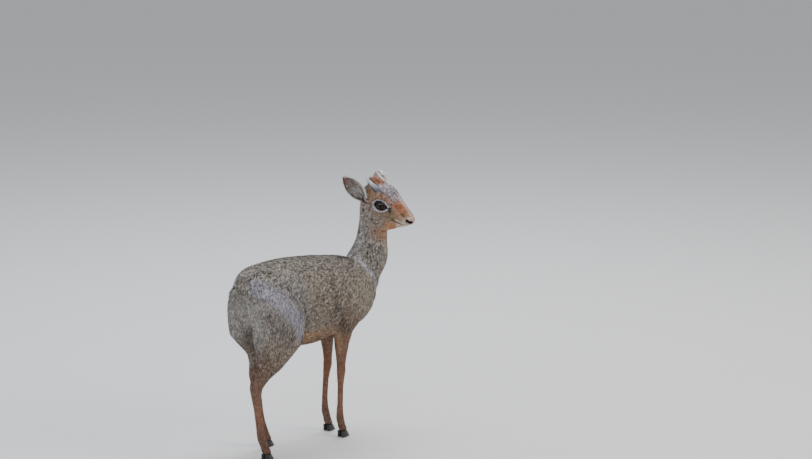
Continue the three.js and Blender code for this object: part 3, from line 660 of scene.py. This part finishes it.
# round the eye: rise, from the opening's edge, spread, and whether on the upper lid
lidFolds = [(0.075, 0.20, 0.09, True), (-0.085, 0.40, 0.07, True), (0.11, 0.68, 0.22, True),
            (0.06, 0.18, 0.09, False), (-0.06, 0.42, 0.12, False)]
# round the mouth, seen from the side: rise, how far above its line, spread
lipFolds = [(-0.13, 0, 0.085), (0.045, 0.19, 0.12), (0.03, -0.19, 0.12)]
# the rest of the face; a single place has a spread for each way
faceFolds = [
    (-0.16, nostrilLine, 0.15),
    (0.05, [(6.75, 0.45, -1.8), (6.35, 0.85, -1.6)], 0.16),
    (-0.07, [(6.1, 1.12, -1.6), (6.0, 1.12, -2.2), (6.3, 0.98, -2.6)], 0.12),
    (-0.05, [(7.1, 0, -2.0), (6.95, 0, -2.7)], 0.07),
    (0.12, [(4.95, 1.2, -1.45)], (0.55, 0.5, 0.4)),
    (-0.1, [(2.45, 1.9, -0.7), (2.5, 1.85, -1.25)], 0.13),
    (0.08, [(-2.4, 2.4, -3.0)], (1.3, 1.0, 1.1)),
    (-0.06, [(1.0, 0, 3.2)], (1.8, 0.35, 1.2)),
]


def foldsAt(points, folds):
    raised = np.zeros(len(points))
    for rise, path, spread in folds:
        if len(path) == 1:
            apart = np.linalg.norm((points - path[0]) / spread, axis=1)
        else:
            apart = fromPath(points, path) / spread
        raised += rise * np.exp(-apart ** 2)
    return raised


def sculptBody(points):
    # how far each place of the body's skin is raised, in cm
    body = toTrunk(points)
    body[:, 1] = np.abs(body[:, 1])
    return foldsAt(body, bodyFolds)


def sculptHead(points):
    # how far each place of the head's skin is raised, in cm: folds, lips and the hollows of the nose
    head = toHead(points)
    head[:, 1] = np.abs(head[:, 1])
    fromSide = head[:, [0, 2]]
    look, along, across = eyeAxes("left")
    gap = head - eyeCentres["left"]
    u, v = gap @ along, gap @ across
    facing = step(gap @ look, 0.1, 0.5)
    outside = almondDistance(u, v)
    above = step(v, -0.1, 0.5)
    raised = -facing * 0.36 * (1 - step(outside, -0.14, 0.05))
    for rise, edge, spread, upper in lidFolds:
        raised += facing * (above if upper else 1 - above) * rise * np.exp(-((outside - edge) / spread) ** 2)
    # the solids' own slit is filled, and the mouth is drawn where the photo has it
    raised += 0.15 * np.exp(-(fromPath(fromSide, slitLine) / 0.17) ** 2) * step(head[:, 0], 2.4, 3.6)
    for rise, up, spread in lipFolds:
        line = [(x, z + up) for x, z in mouthLine]
        raised += rise * np.exp(-(fromPath(fromSide, line) / spread) ** 2)
    return raised + foldsAt(head, faceFolds)


def makeSkin(name, s, isHead):
    skin = copyNodes(fleshNodes, name)
    points = pointsOf(skin)
    setPoints(skin, points + normalsOf(skin) * s["grow"])
    if isHead:
        cutAway(skin, (0, 0, s["seamHeight"] - s["overlap"] - s["cutSpare"]), (0, 0, 1))
        # the top of the back is as high as the foot of the head's skin, and is left out of it
        cutAway(skin, (s["backEndsAt"] + trunkShift[0] / 100, 0, 0), (1, 0, 0))
        skin = fillSockets(skin)
    else:
        cutAway(skin, (0, 0, s["seamHeight"] + s["overlap"] + s["cutSpare"]), (0, 0, 1), keepAhead=False)
    kind = "head" if isHead else "body"
    applyModifier(skin, "REMESH", mode="VOXEL", voxel_size=s[kind + "Voxel"], use_smooth_shade=True)
    calm = featureCalm(pointsOf(skin)) if isHead else np.ones(len(skin.data.vertices))
    weightGroup(skin, "calm", calm)
    applyModifier(skin, "SMOOTH", factor=0.5, iterations=s[kind + "Smooth"], vertex_group="calm")
    if not isHead:
        weightGroup(skin, "junction", junction(pointsOf(skin)))
        applyModifier(skin, "SMOOTH", factor=0.5, iterations=s["junctionSmooth"], vertex_group="junction")
    points = pointsOf(skin)
    depth = coatAt(points)[:, 4] / 1000 * 0.92
    depth -= (sculptHead(points) if isHead else sculptBody(points)) / 100
    if not isHead:
        depth += 0.0012 * step(points[:, 2], s["seamHeight"] - 0.004, s["seamHeight"] + 0.004)
    setPoints(skin, points - normalsOf(skin) * depth[:, None])
    skin.vertex_groups.clear()
    applyModifier(skin, "SMOOTH", factor=0.5, iterations=1 if isHead else 2)
    smoothShade(skin)
    print("skin:", name, len(skin.data.polygons), "faces")
    return skin


bodySkin = makeSkin("bodySkin", skinSettings, False)
headSkin = makeSkin("headSkin", skinSettings, True)


def paint(thing):
    points = pointsOf(thing)
    colours = markings(points, coatAt(points)[:, 5:8])
    setColours(thing.data, "coat", colours)


# ears: the part's own cupped leaves, rounded
earSettings = {"levels": 2}


def makeEar(side):
    ear = copyNodes([f"ear_{side}"], f"earSkin_{side}")
    applyModifier(ear, "SUBSURF", levels=earSettings["levels"], render_levels=earSettings["levels"])
    smoothShade(ear)
    return ear


earSkins = {side: makeEar(side) for side in ("left", "right")}
earPlacing = {
    "right": {"root": (-3.62, -2.7, 0.15), "way": (-0.56, -0.47, 0.69), "opens": (0.62, -0.76, 0.1),
              "spread": 0.9, "rim": 0.4},
    "left": {"root": (-3.5, 2.2, 1.45), "way": (-0.68, 0.73, 0.07), "opens": (0.8, 0.55, -0.1),
             "spread": 1.0, "rim": 0.14},
}
earLength = 6.7
# share of the length, half width in cm and half angle of the cup, as the part has them
earLeaf = [(0.08, 1.05, 140), (0.24, 1.55, 118), (0.42, 1.88, 98), (0.6, 1.86, 84),
           (0.77, 1.48, 74), (0.9, 0.9, 64), (1.0, 0.24, 52)]


def earAxes(side):
    s = earPlacing[side]
    way = np.array(s["way"]) / np.linalg.norm(s["way"])
    front = np.array(s["opens"]) - way * np.dot(s["opens"], way)
    front /= np.linalg.norm(front)
    return np.array(s["root"]), way, front, np.cross(way, front)


def earRim(side, edge):
    # the free edge of the cup, in the head's frame; edge is 1 or -1
    root, way, front, across = earAxes(side)
    line = []
    for share, half, degrees in earLeaf:
        half *= earPlacing[side]["spread"]
        arc = math.radians(degrees)
        radius = half / math.sin(min(arc, math.pi / 2))
        line.append(root + way * share * earLength + front * (radius - half * 0.55 - math.cos(arc) * radius)
                    + across * math.sin(arc) * radius * edge)
    return line


def earPlaces(points, side):
    # share of the ear's length, how far across it, in front of its back, and how near each free edge, in cm
    root, way, front, across = earAxes(side)
    head = toHead(points)
    gap = head - root
    rims = [fromPath(head, earRim(side, edge)) for edge in (1, -1)]
    share, aside = gap @ way / earLength, gap @ across
    leaf = np.array(earLeaf)
    leafWidths = leaf[:, 1] * np.sin(np.radians(np.minimum(180 - leaf[:, 2], 90)))
    halfWidth = np.interp(share, leaf[:, 0], leafWidths) * earPlacing[side]["spread"]
    rims = [np.where(share > 0.35, np.minimum(rim, np.maximum(halfWidth - aside * edge, 0)), rim)
            for rim, edge in zip(rims, (1, -1))]
    upper = 0 if toWorld(earRim(side, 1)[3])[0, 2] > toWorld(earRim(side, -1)[3])[0, 2] else 1
    return share, aside, gap @ front, rims[upper], rims[1 - upper]


def earColours(points, facing, side):
    along, aside, ahead, upperRim, lowerRim = earPlaces(points, side)
    inside = step(facing, -0.15, 0.2)
    back = mix(np.tile(linear("#8d7462"), (len(points), 1)), linear("#ab968c"), step(along, 0.4, 1.0))
    inner = mix(np.tile(linear("#5f3224"), (len(points), 1)), linear("#7d4a38"), step(along, 0.55, 0.95))
    streaks = 0.85 * np.exp(-(np.sin(aside * 4.4 + 0.6) / 0.5) ** 2)
    inner = mix(inner, linear("#1d100d"), streaks * (1 - step(along, 0.6, 0.85)))
    colours = back * (1 - inside[:, None]) + inner * inside[:, None]
    colours = mix(colours, linear("#3a2a24"), 0.7 * inside * (1 - step(lowerRim, 0.1, 0.4)))
    rim = earPlacing[side]["rim"]
    return mix(colours, linear("#e4e0dc"), 0.92 * (1 - step(upperRim, rim, rim + 0.14)))


def paintEar(thing, side):
    points, normals = pointsOf(thing), normalsOf(thing)
    colours = earColours(points, (normals @ headTurn) @ earAxes(side)[2], side)
    setColours(thing.data, "coat", colours)


paint(bodySkin)
paint(headSkin)
for side, ear in earSkins.items():
    paintEar(ear, side)


# short underfur close to the hide: dull, with no gloss, and broken up at about a millimetre,
# which is coarser than real hairs so that it shows
hide = tintedMaterial("furredHide", {
    "attribute": "coat", "scale": 900.0, "detail": 2.0, "from": (0.3, 0.7), "to": (0.5, 1.15),
    "bump": (0.5, 0.0006), "finish": {"Roughness": 0.85, "Specular_IOR_Level": 0.2},
})
for skin in (bodySkin, headSkin, *earSkins.values()):
    skin.data.materials.append(hide)
    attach(skin, "root")
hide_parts(*[n for n in fleshNodes if n != "head"])
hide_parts("head")
for side, ear in earSkins.items():
    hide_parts(f"ear_{side}")
print("skin: painted")

eyeColours = {"iris": "#2a150b", "pupil": "#050404", "white": "#241a18"}


def onEye(u, v, side, out):
    # a place over the eye's surface, u along the opening and v across it, out in cm from the ball
    look, along, across = eyeAxes(side)
    sizes = np.array(eyeSettings["halfSizes"])
    flat = np.outer(u, along) + np.outer(v, across)
    a = ((look / sizes) ** 2).sum()
    b = (flat * look / sizes ** 2).sum(1)
    c = ((flat / sizes) ** 2).sum(1) - 1
    reach = (-b + np.sqrt(np.maximum(b * b - a * c, 0.02))) / a
    return eyeCentres[side] + flat + look * (reach + out)[:, None]


def makeEye(side, material):
    s = eyeSettings
    look, along, across = eyeAxes(side)
    bpy.ops.object.select_all(action="DESELECT")
    bpy.ops.mesh.primitive_uv_sphere_add(segments=64, ring_count=48, radius=1)
    eye = bpy.context.object
    eye.name = eye.data.name = f"eyeball_{side}"
    unit = pointsOf(eye)
    turned = unit[:, :1] * along + unit[:, 1:2] * across + unit[:, 2:] * look
    # the cornea stands a little proud of the ball
    bulge = 1 + 0.035 * step(unit[:, 2], 0.62, 0.95)
    setPoints(eye, toWorld(eyeCentres[side] + turned * np.array(s["halfSizes"]) * (bulge * 0.97)[:, None]))
    pupil = 1 - step(np.sqrt((unit[:, 0] / 0.46) ** 2 + (unit[:, 1] / 0.24) ** 2), 0.85, 1.15)
    rim = step(np.hypot(unit[:, 0], unit[:, 1]), 0.68, 0.78)
    colours = mix(np.tile(linear(eyeColours["iris"]), (len(unit), 1)), linear(eyeColours["pupil"]), pupil)
    colours = mix(colours, linear(eyeColours["white"]), rim)
    setColours(eye.data, "iris", colours)
    eye.data.materials.append(material)
    faceOutwards(eye)
    smoothShade(eye)
    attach(eye, "root")
    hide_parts(f"eye_{side}")


lidSettings = {"thick": 0.085, "upperThick": 0.12, "out": 0.07}


def makeLid(side, material):
    # the lids' dark edge: a ring drawn out to the front corner, thicker above
    s, e = lidSettings, eyeSettings
    bpy.ops.object.select_all(action="DESELECT")
    bpy.ops.mesh.primitive_torus_add(major_segments=96, minor_segments=12, major_radius=1, minor_radius=0.1)
    lid = bpy.context.object
    lid.name = lid.data.name = f"lidEdge_{side}"
    ring = pointsOf(lid)
    angle = np.arctan2(ring[:, 1], ring[:, 0])
    outward = (np.hypot(ring[:, 0], ring[:, 1]) - 1) / 0.1
    upward = ring[:, 2] / 0.1
    c, d = np.cos(angle), np.sin(angle)
    thick = s["thick"] + (s["upperThick"] - s["thick"]) * step(d, 0, 0.7)
    narrow = (1 - 0.25 * np.maximum(0, c) ** 2) * np.abs(d) ** 0.15
    u = c * (e["length"] / 2 + outward * thick)
    v = d * narrow * (e["height"] / 2) + d * outward * thick
    v -= 0.16 * step(c, 0.8, 1.0)
    setPoints(lid, toWorld(onEye(u, v, side, s["out"] + 0.16 * c ** 4 + upward * thick)))
    lid.data.materials.append(material)
    faceOutwards(lid)
    smoothShade(lid)
    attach(lid, "root")


# wet cornea over a near-black iris: one sharp bright reflection and hardly any colour
cornea = tintedMaterial("wetCornea", {
    "attribute": "iris", "scale": 900.0, "detail": 3.0, "from": (0, 1), "to": (0.6, 1.3),
    "finish": {"Roughness": 0.035, "IOR": 1.34},
})
# bare black lid skin: creased finer than a millimetre, damp along its edge
lidSkin = grainedMaterial("lidSkin", {
    "scale": 1600.0, "detail": 3.0, "tones": ("#0b0808", "#2a201d"), "bump": (0.4, 0.0003),
    "finish": {"Roughness": 0.38},
})
for side in ("left", "right"):
    makeEye(side, cornea)
    makeLid(side, lidSkin)
print("eyes: made, with the lids' edges")


# horns and hooves are the part's nodes, rounded and grained
def roundedCopy(nodes, name, voxel, smooth, material):
    piece = copyNodes(nodes, name)
    before = pointsOf(piece)
    applyModifier(piece, "REMESH", mode="VOXEL", voxel_size=voxel, use_smooth_shade=True)
    applyModifier(piece, "SMOOTH", factor=0.5, iterations=smooth)
    points = pointsOf(piece)
    low, high = before.min(0), before.max(0)
    points = low + (points - points.min(0)) / (points.max(0) - points.min(0)) * (high - low)
    setPoints(piece, points)
    piece.data.materials.append(material)
    smoothShade(piece)
    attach(piece, "root")
    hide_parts(*nodes)
    return piece


hornPlacing = {"right": ((-1.2, -1.5, 2.35), (-0.82, -0.14, 0.55)), "left": ((-1.2, 1.5, 2.35), (-0.86, 0.26, 0.44))}
hornLength = 4.8


def ringHorn(horn, side):
    # raised rings round the lower half, close together at the foot, with painted shade darkening the furrows between;
    # the shade attribute also darkens the foot and brightens the upper half as a painted sheen
    foot, way = (np.array(v) for v in hornPlacing[side])
    way /= np.linalg.norm(way)
    points = toHead(pointsOf(horn))
    share = (points - foot) @ way / hornLength
    outward = points - foot - np.outer(share * hornLength, way)
    outward /= np.maximum(np.linalg.norm(outward, axis=1, keepdims=True), 1e-6)
    wave = np.sin(2 * math.pi * (share * 15 - 5 * share ** 2)) * (1 - step(share, 0.4, 0.62))
    setPoints(horn, toWorld(points + outward * (0.022 * wave)[:, None]))
    shade = 0.62 + 0.3 * wave
    shade = np.where(share > 0.4, 0.85 + 0.25 * share, shade) * (0.3 + 0.7 * step(share, 0.06, 0.36))
    setColours(horn.data, "shade", np.repeat(shade[:, None], 3, 1))


# keratin of a horn: satin and dark, its pale blue-grey tones a painted reflection of the sky, with grain of two to
# three millimetres
keratin = grainedMaterial("ringedHorn", {
    "scale": 420.0, "detail": 3.0, "tones": ("#787982", "#d5d9e6"), "bump": (0.35, 0.0004),
    "attribute": "shade", "finish": {"Roughness": 0.3, "IOR": 1.55},
})
# horn of a hoof: near black, satin, scuffed paler and duller in patches of four millimetres
hoofHorn = grainedMaterial("hoofHorn", {
    "scale": 260.0, "detail": 4.0, "tones": ("#0d0b0a", "#2b2622"), "bump": (0.3, 0.0005),
    "scuffed": (0.28, 0.6), "finish": {"IOR": 1.55},
})
for side in ("left", "right"):
    ringHorn(roundedCopy([f"horn_{side}"], f"hornSpike_{side}", 0.0005, 3, keratin), side)
    for limb in ("fore", "hind"):
        for claw in ("outer", "inner"):
            roundedCopy([f"hoof_{limb}_{side}_{claw}"], f"claw_{limb}_{side}_{claw}", 0.0007, 3, hoofHorn)
print("horns and hooves: made")


# guard hairs: each tuft carries its own banded colour, with a soft sheen where it bends
guardHair = tintedMaterial("guardHair", {
    "attribute": "coat", "scale": 1400.0, "detail": 1.0, "from": (0.3, 0.7), "to": (0.82, 1.18),
    "finish": {"Roughness": 0.55, "Specular_IOR_Level": 0.3, "Sheen_Weight": 0.15, "Sheen_Roughness": 0.4,
               "Sheen_Tint": (*linear("#cfd6e6"), 1)},
})


def triangleTable(thing):
    mesh = thing.data
    mesh.calc_loop_triangles()
    corners = np.empty(len(mesh.loop_triangles) * 3, np.int32)
    mesh.loop_triangles.foreach_get("vertices", corners)
    loops = np.empty(len(mesh.loop_triangles) * 3, np.int32)
    mesh.loop_triangles.foreach_get("loops", loops)
    return corners.reshape(-1, 3), loops.reshape(-1, 3)


def unwrap(thing):
    selectOnly(thing)
    bpy.ops.object.mode_set(mode="EDIT")
    bpy.ops.mesh.select_all(action="SELECT")
    bpy.ops.uv.smart_project(angle_limit=math.radians(66), island_margin=0.002)
    bpy.ops.object.mode_set(mode="OBJECT")
    layer = thing.data.uv_layers.active
    out = np.empty(len(thing.data.loops) * 2)
    layer.data.foreach_get("uv", out)
    return out.reshape(-1, 2)


def scatter(thing, keep, density):
    # seeded roots spread over a skin, with as many per square metre as density says at each place
    points, normals = pointsOf(thing), normalsOf(thing)
    corners, loops = triangleTable(thing)
    a, b, c = points[corners[:, 0]], points[corners[:, 1]], points[corners[:, 2]]
    area = np.linalg.norm(np.cross(b - a, c - a), axis=1) / 2
    centre = (a + b + c) / 3
    wanted = area * density(centre) * keep(centre)
    edges = np.cumsum(wanted)
    count = int(edges[-1])
    picks = np.searchsorted(edges, (np.arange(count) + random.uniform(0, 1, count)) / count * edges[-1])
    picks = np.minimum(picks, len(area) - 1)
    u, v = random.uniform(size=(2, count))
    flip = u + v > 1
    u[flip], v[flip] = 1 - u[flip], 1 - v[flip]
    share = np.c_[1 - u - v, u, v]
    root = (points[corners[picks]] * share[:, :, None]).sum(1)
    normal = (normals[corners[picks]] * share[:, :, None]).sum(1)
    normal /= np.linalg.norm(normal, axis=1, keepdims=True)
    uv = unwraps[thing.name]
    place = (uv[loops[picks]] * share[:, :, None]).sum(1)
    return root, normal, place


def buildTufts(name, root, normal, place, lie, length, depth, width, colours):
    # each tuft is a thin bent blade of three triangles: two at its root, two midway and one tip
    count = len(root)
    lie = lie - normal * (lie * normal).sum(1, keepdims=True)
    lie /= np.maximum(np.linalg.norm(lie, axis=1, keepdims=True), 1e-9)
    across = np.cross(normal, lie)
    swing = (0.09 * cellDraw(root, 0.0034, 8) + random.normal(0, 0.1, count))[:, None]
    lie = lie + across * swing
    lie /= np.linalg.norm(lie, axis=1, keepdims=True)
    across = np.cross(normal, lie)
    roll = random.normal(0, 0.3, count)[:, None]
    across = across + normal * roll
    half = across * (width / 2)[:, None]
    rise = (depth * random.uniform(0.75, 1.15, count))[:, None]
    long = length[:, None]
    foot = root - normal * furSettings["sunk"]
    middle = root + lie * long * 0.45 + normal * rise * 0.75
    tip = root + lie * long * 0.98 + normal * rise * random.uniform(0.8, 1.15, count)[:, None]
    points = np.stack([foot - half * 0.8, foot + half * 0.8, middle - half, middle + half, tip], 1).reshape(-1, 3)
    base = np.arange(count)[:, None] * 5
    faces = np.concatenate([base + [0, 1, 3], base + [0, 3, 2], base + [2, 3, 4]], 1).reshape(-1, 3)
    mesh = bpy.data.meshes.new(name)
    mesh.vertices.add(len(points))
    mesh.vertices.foreach_set("co", points.ravel())
    mesh.loops.add(faces.size)
    mesh.loops.foreach_set("vertex_index", faces.ravel().astype(np.int32))
    mesh.polygons.add(len(faces))
    mesh.polygons.foreach_set("loop_start", np.arange(0, faces.size, 3, dtype=np.int32))
    mesh.polygons.foreach_set("loop_total", np.full(len(faces), 3, dtype=np.int32))
    mesh.polygons.foreach_set("use_smooth", np.ones(len(faces), dtype=bool))
    mesh.update(calc_edges=True)
    stacked = np.repeat(np.stack(colours, 1), [2, 2, 1], axis=1)  # root, middle and tip colours
    setColours(mesh, "coat", stacked.reshape(-1, 3))
    patch = furSettings["bakePatch"] / 2 * np.array([[-0.6, -1], [0.6, -1], [-0.8, 0], [0.8, 0], [0, 1]])
    uv = (place[:, None] + patch[None]).reshape(-1, 2)
    layer = mesh.uv_layers.new(name="OFBake")
    layer.data.foreach_set("uv", np.clip(uv[faces.ravel()], 0.0005, 0.9995).ravel())
    piece = bpy.data.objects.new(name, mesh)
    bpy.context.collection.objects.link(piece)
    mesh.materials.append(guardHair)
    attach(piece, "root")
    print("coat:", name, count, "tufts", len(faces), "triangles")
    return piece


furSettings = {
    "bodyDensity": 1.1e6,  # tufts per square metre on the trunk
    "neckDensity": 3.2e6,
    "legDensity": 1.7e6,
    "headDensity": 6.0e6,
    "widthPerLength": 0.16,
    "mostWidth": 0.0013,
    "leastWidth": 0.00035,
    "crownDensity": 4e6,
    "sunk": 0.0004,  # how far a tuft's root lies under the skin
    "bakePatch": 0.003,  # height of a tuft's patch in the unwrap
    "toneCell": 0.0021,  # hairs this close share a tone, which gives the pepper and salt
    "darkBand": "#1b1613",
    "paleBand": "#e2dacd",
}
unwraps = {thing.name: unwrap(thing) for thing in (bodySkin, headSkin, *earSkins.values())}
print("coat: skins unwrapped")


def cellDraw(points, size, seed):
    # one repeatable draw for each little cell of space, so that neighbouring hairs share it
    cells = np.floor(points / size + 0.35 * grain(points, size * 2.7, seed)[:, None]).astype(np.int64)
    key = (cells * np.array([73856093, 19349663, 83492791])).sum(1) + seed * 2654435761
    key = (key ^ (key >> 13)) * 1274126177
    share = ((key ^ (key >> 16)) & 0xFFFFFF) / 0xFFFFFF
    return (share - 0.5) * 3.46


def tuftColours(root, base, grizzle):
    # banded hairs: dark near the skin, pale in the middle, and a black or pale tip
    patchy = 1 + 0.07 * grain(root, 0.02, 3) + 0.05 * grain(root, 0.008, 4)
    tone = 0.72 * cellDraw(root, furSettings["toneCell"], 5) + 0.5 * random.normal(0, 1, len(root))
    g = (grizzle * (1 + 0.35 * step(root[:, 2], 0.32, 0.37)))[:, None]  # stronger on the neck
    tone = np.clip(tone, -2.2, 2.2)[:, None]
    body = base * patchy[:, None]
    dark = np.array(linear(furSettings["darkBand"]))
    pale = np.array(linear(furSettings["paleBand"]))
    toDark = np.clip(-tone - 0.1, 0, 1.6) * 0.52 * g
    toPale = np.clip(tone - 0.2, 0, 1.6) * 0.34 * g
    middle = body * (1 + 0.12 * tone)
    middle = middle * (1 - toPale) + pale * toPale
    middle = middle * (1 - toDark) + dark * toDark
    tip = middle * (1 - 0.2 * g) + (pale * (tone > 0.1) + dark * (tone <= 0.1)) * 0.2 * g
    return body * 0.5, np.clip(middle, 0.002, 1), np.clip(tip, 0.002, 1)


def growCoat(name, thing, keep, density, longer=1.0, lift=1.0, wide=1.0, colour=None):
    root, normal, place = scatter(thing, keep, density)
    plan = coatAt(root)
    length = plan[:, 3] / 1000 * random.uniform(0.78, 1.22, len(root)) * longer
    s = furSettings
    width = np.clip(length * s["widthPerLength"], s["leastWidth"], s["mostWidth"]) * wide
    base = np.tile(linear(colour), (len(root), 1)) if colour else markings(root, plan[:, 5:8])
    buildTufts(name, root, normal, place, plan[:, 0:3], length, plan[:, 4] / 1000 * lift, width,
               tuftColours(root, base, plan[:, 8]))


def notBare(points):
    # no tufts on the eyes, inside the mouth or nostrils, or on the wet nose
    head = toHead(points)
    keep = np.ones(len(points))
    for side in ("left", "right"):
        look, along, across = eyeAxes(side)
        gap = head - eyeCentres[side]
        keep *= ~((gap @ look > 0) & (almondDistance(gap @ along, gap @ across) < 0.13))
    head[:, 1] = np.abs(head[:, 1])
    nose = np.linalg.norm((head - [7.0, 0, -2.1]) / [0.42, 0.75, 0.42], axis=1)
    keep *= nose > 1
    keep *= fromPath(head, nostrilLine) > 0.2
    keep *= fromPath(head[:, [0, 2]], mouthLine) > 0.11
    return keep


def even(density):
    return lambda points: np.full(len(points), density)


def within(points, axis, low, high):
    return ((points[:, axis] > low) & (points[:, axis] <= high)).astype(float)


seam = skinSettings["seamHeight"]
bodyPieces = [  # name, from and to along the trunk in cm, from and to in height, density, slot
    ("coatShoulders", (-8, 0), (0.2, seam + 0.001), "bodyDensity", "grizzled_coat"),
    ("coatBreast", (0, 99), (0.2, seam + 0.001), "bodyDensity", "grizzled_coat"),
    ("coatRibs", (-16, -8), (0.2, seam + 0.02), "bodyDensity", "grizzled_coat"),
    ("coatLoin", (-24, -16), (0.2, seam + 0.02), "bodyDensity", "grizzled_coat"),
    ("coatRump", (-99, -24), (0.2, seam + 0.02), "bodyDensity", "grizzled_coat"),
    ("coatHindLegs", (-99, -16), (0.013, 0.2), "legDensity", "tawny_coat"),
    ("coatForelegs", (-16, 99), (0.013, 0.2), "legDensity", "tawny_coat"),
]
for name, (back, ahead), (low, high), density, slot in bodyPieces:
    growCoat(name, bodySkin, lambda p: within(toTrunk(p), 0, back, ahead) * within(p, 2, low, high),
             even(furSettings[density]))


def faceDensity(points):
    # the shorter the hair, the closer it grows
    return furSettings["headDensity"] * np.clip(2.2 / np.maximum(coatAt(points)[:, 3], 1.2), 0.3, 1.15)


def onNeck(points):
    return (toHead(points)[:, 2] < -5.2).astype(float)


def betweenHorns(points):
    head = toHead(points)
    return np.exp(-((head[:, 0] + 2.3) / 0.8) ** 2 - (head[:, 1] / 0.7) ** 2) * (head[:, 2] > 1.5)


growCoat("coatUpperNeck", headSkin, lambda p: within(p, 2, seam, 9) * onNeck(p),
         even(furSettings["neckDensity"]))
for side, sign in (("left", 1), ("right", -1)):
    growCoat(f"coatFace_{side}", headSkin,
             lambda p: within(p, 2, seam, 9) * (1 - onNeck(p)) * notBare(p) * (toHead(p)[:, 1] * sign > 0),
             faceDensity)
growCoat("coatCrown", headSkin, betweenHorns, even(furSettings["crownDensity"]),
         longer=1.5, lift=2.2, wide=0.45, colour="#a8683c")


# inside an ear: long pale hairs in streaks from its base and front edge; outside and along the edge: short close fur
earFur = {"outside": 3.4e6, "inside": 0.3e6, "rim": 3.6e6, "leftOutInside": 0.8, "streakColour": "#dcd6cf"}


def growEar(side):
    skin = earSkins[side]
    root, way, front, across = earAxes(side)
    worldWay, worldFront, worldAcross = (headTurn @ v for v in (way, front, across))

    def density(points):
        along, aside, ahead, upperRim, lowerRim = earPlaces(points, side)
        streaks = step(np.sin(aside * 4.4 + 2.2), 0.45, 0.9) * (1 - step(along, 0.62, 0.9)) + 0.04
        rim = (1 - step(np.minimum(upperRim, lowerRim), 0.08, 0.2))
        inside = step(ahead - 0.35 * np.abs(aside), -0.6, 0.1)
        return rim * earFur["rim"] + (1 - rim) * (0.5 * earFur["outside"] + earFur["inside"] * streaks * inside)

    place, normal, uv = scatter(skin, lambda p: step(earPlaces(p, side)[0], -0.04, 0.04), density)
    along, aside, ahead, upperRim, lowerRim = earPlaces(place, side)
    facing = (normal @ worldFront)
    inner = (facing > 0.05) & (np.minimum(upperRim, lowerRim) > 0.16)
    thin = inner & (random.uniform(size=len(place)) < earFur["leftOutInside"])
    place, normal, uv = place[~thin], normal[~thin], uv[~thin]
    along, aside, upperRim, inner = along[~thin], aside[~thin], upperRim[~thin], inner[~thin]
    longHairs = random.uniform(7, 12, len(place)) * (1.15 - along)
    length = np.where(inner, longHairs, random.uniform(2.6, 3.8, len(place))) / 1000
    depth = np.where(inner, 2.2, 0.35) / 1000
    width = np.where(inner, 0.0006, 0.0005)
    lie = worldWay + worldAcross * (0.12 * np.sign(aside) * inner)[:, None]
    base = earColours(place, normal @ worldFront, side)
    base = mix(base, linear(earFur["streakColour"]), np.where(inner, 0.85, 0.0))
    buildTufts(f"coatEar_{side}", place, normal, uv, lie, length, depth, width,
               tuftColours(place, base, np.full(len(place), 0.25)))


for side in ("left", "right"):
    growEar(side)


lashSettings = {"count": 130, "along": (0.18, 0.9), "millimetres": (3.0, 5.2), "width": 0.00045, "colour": "#0e0b0a"}


def growLashes(side):
    # a fringe of black lashes along the upper lid, longest over the middle
    look, along, across = eyeAxes(side)
    s = lashSettings
    count = s["count"]
    angle = random.uniform(*s["along"], count) * math.pi
    u = np.cos(angle) * eyeSettings["length"] / 2 * 1.04
    v = np.sin(angle) * eyeSettings["height"] / 2 * 1.08
    place = toWorld(onEye(u, v, side, np.full(count, 0.12)))
    outward = look[None] * 0.9 + across[None] * 0.75 + along[None] * (u * 0.35)[:, None]
    lie = outward @ headTurn.T
    normal = np.tile(headTurn @ (across * 0.8 - look * 0.4), (count, 1))
    normal /= np.linalg.norm(normal, axis=1, keepdims=True)
    length = random.uniform(*s["millimetres"], count) / 1000 * (0.6 + 0.4 * np.sin(angle))
    black = np.tile(linear(s["colour"]), (count, 1))
    buildTufts(f"coatLashes_{side}", place, normal, np.tile([0.5, 0.5], (count, 1)), lie, length, length * 0.15,
               np.full(count, s["width"]), (black, black, black))


for side in ("left", "right"):
    growLashes(side)
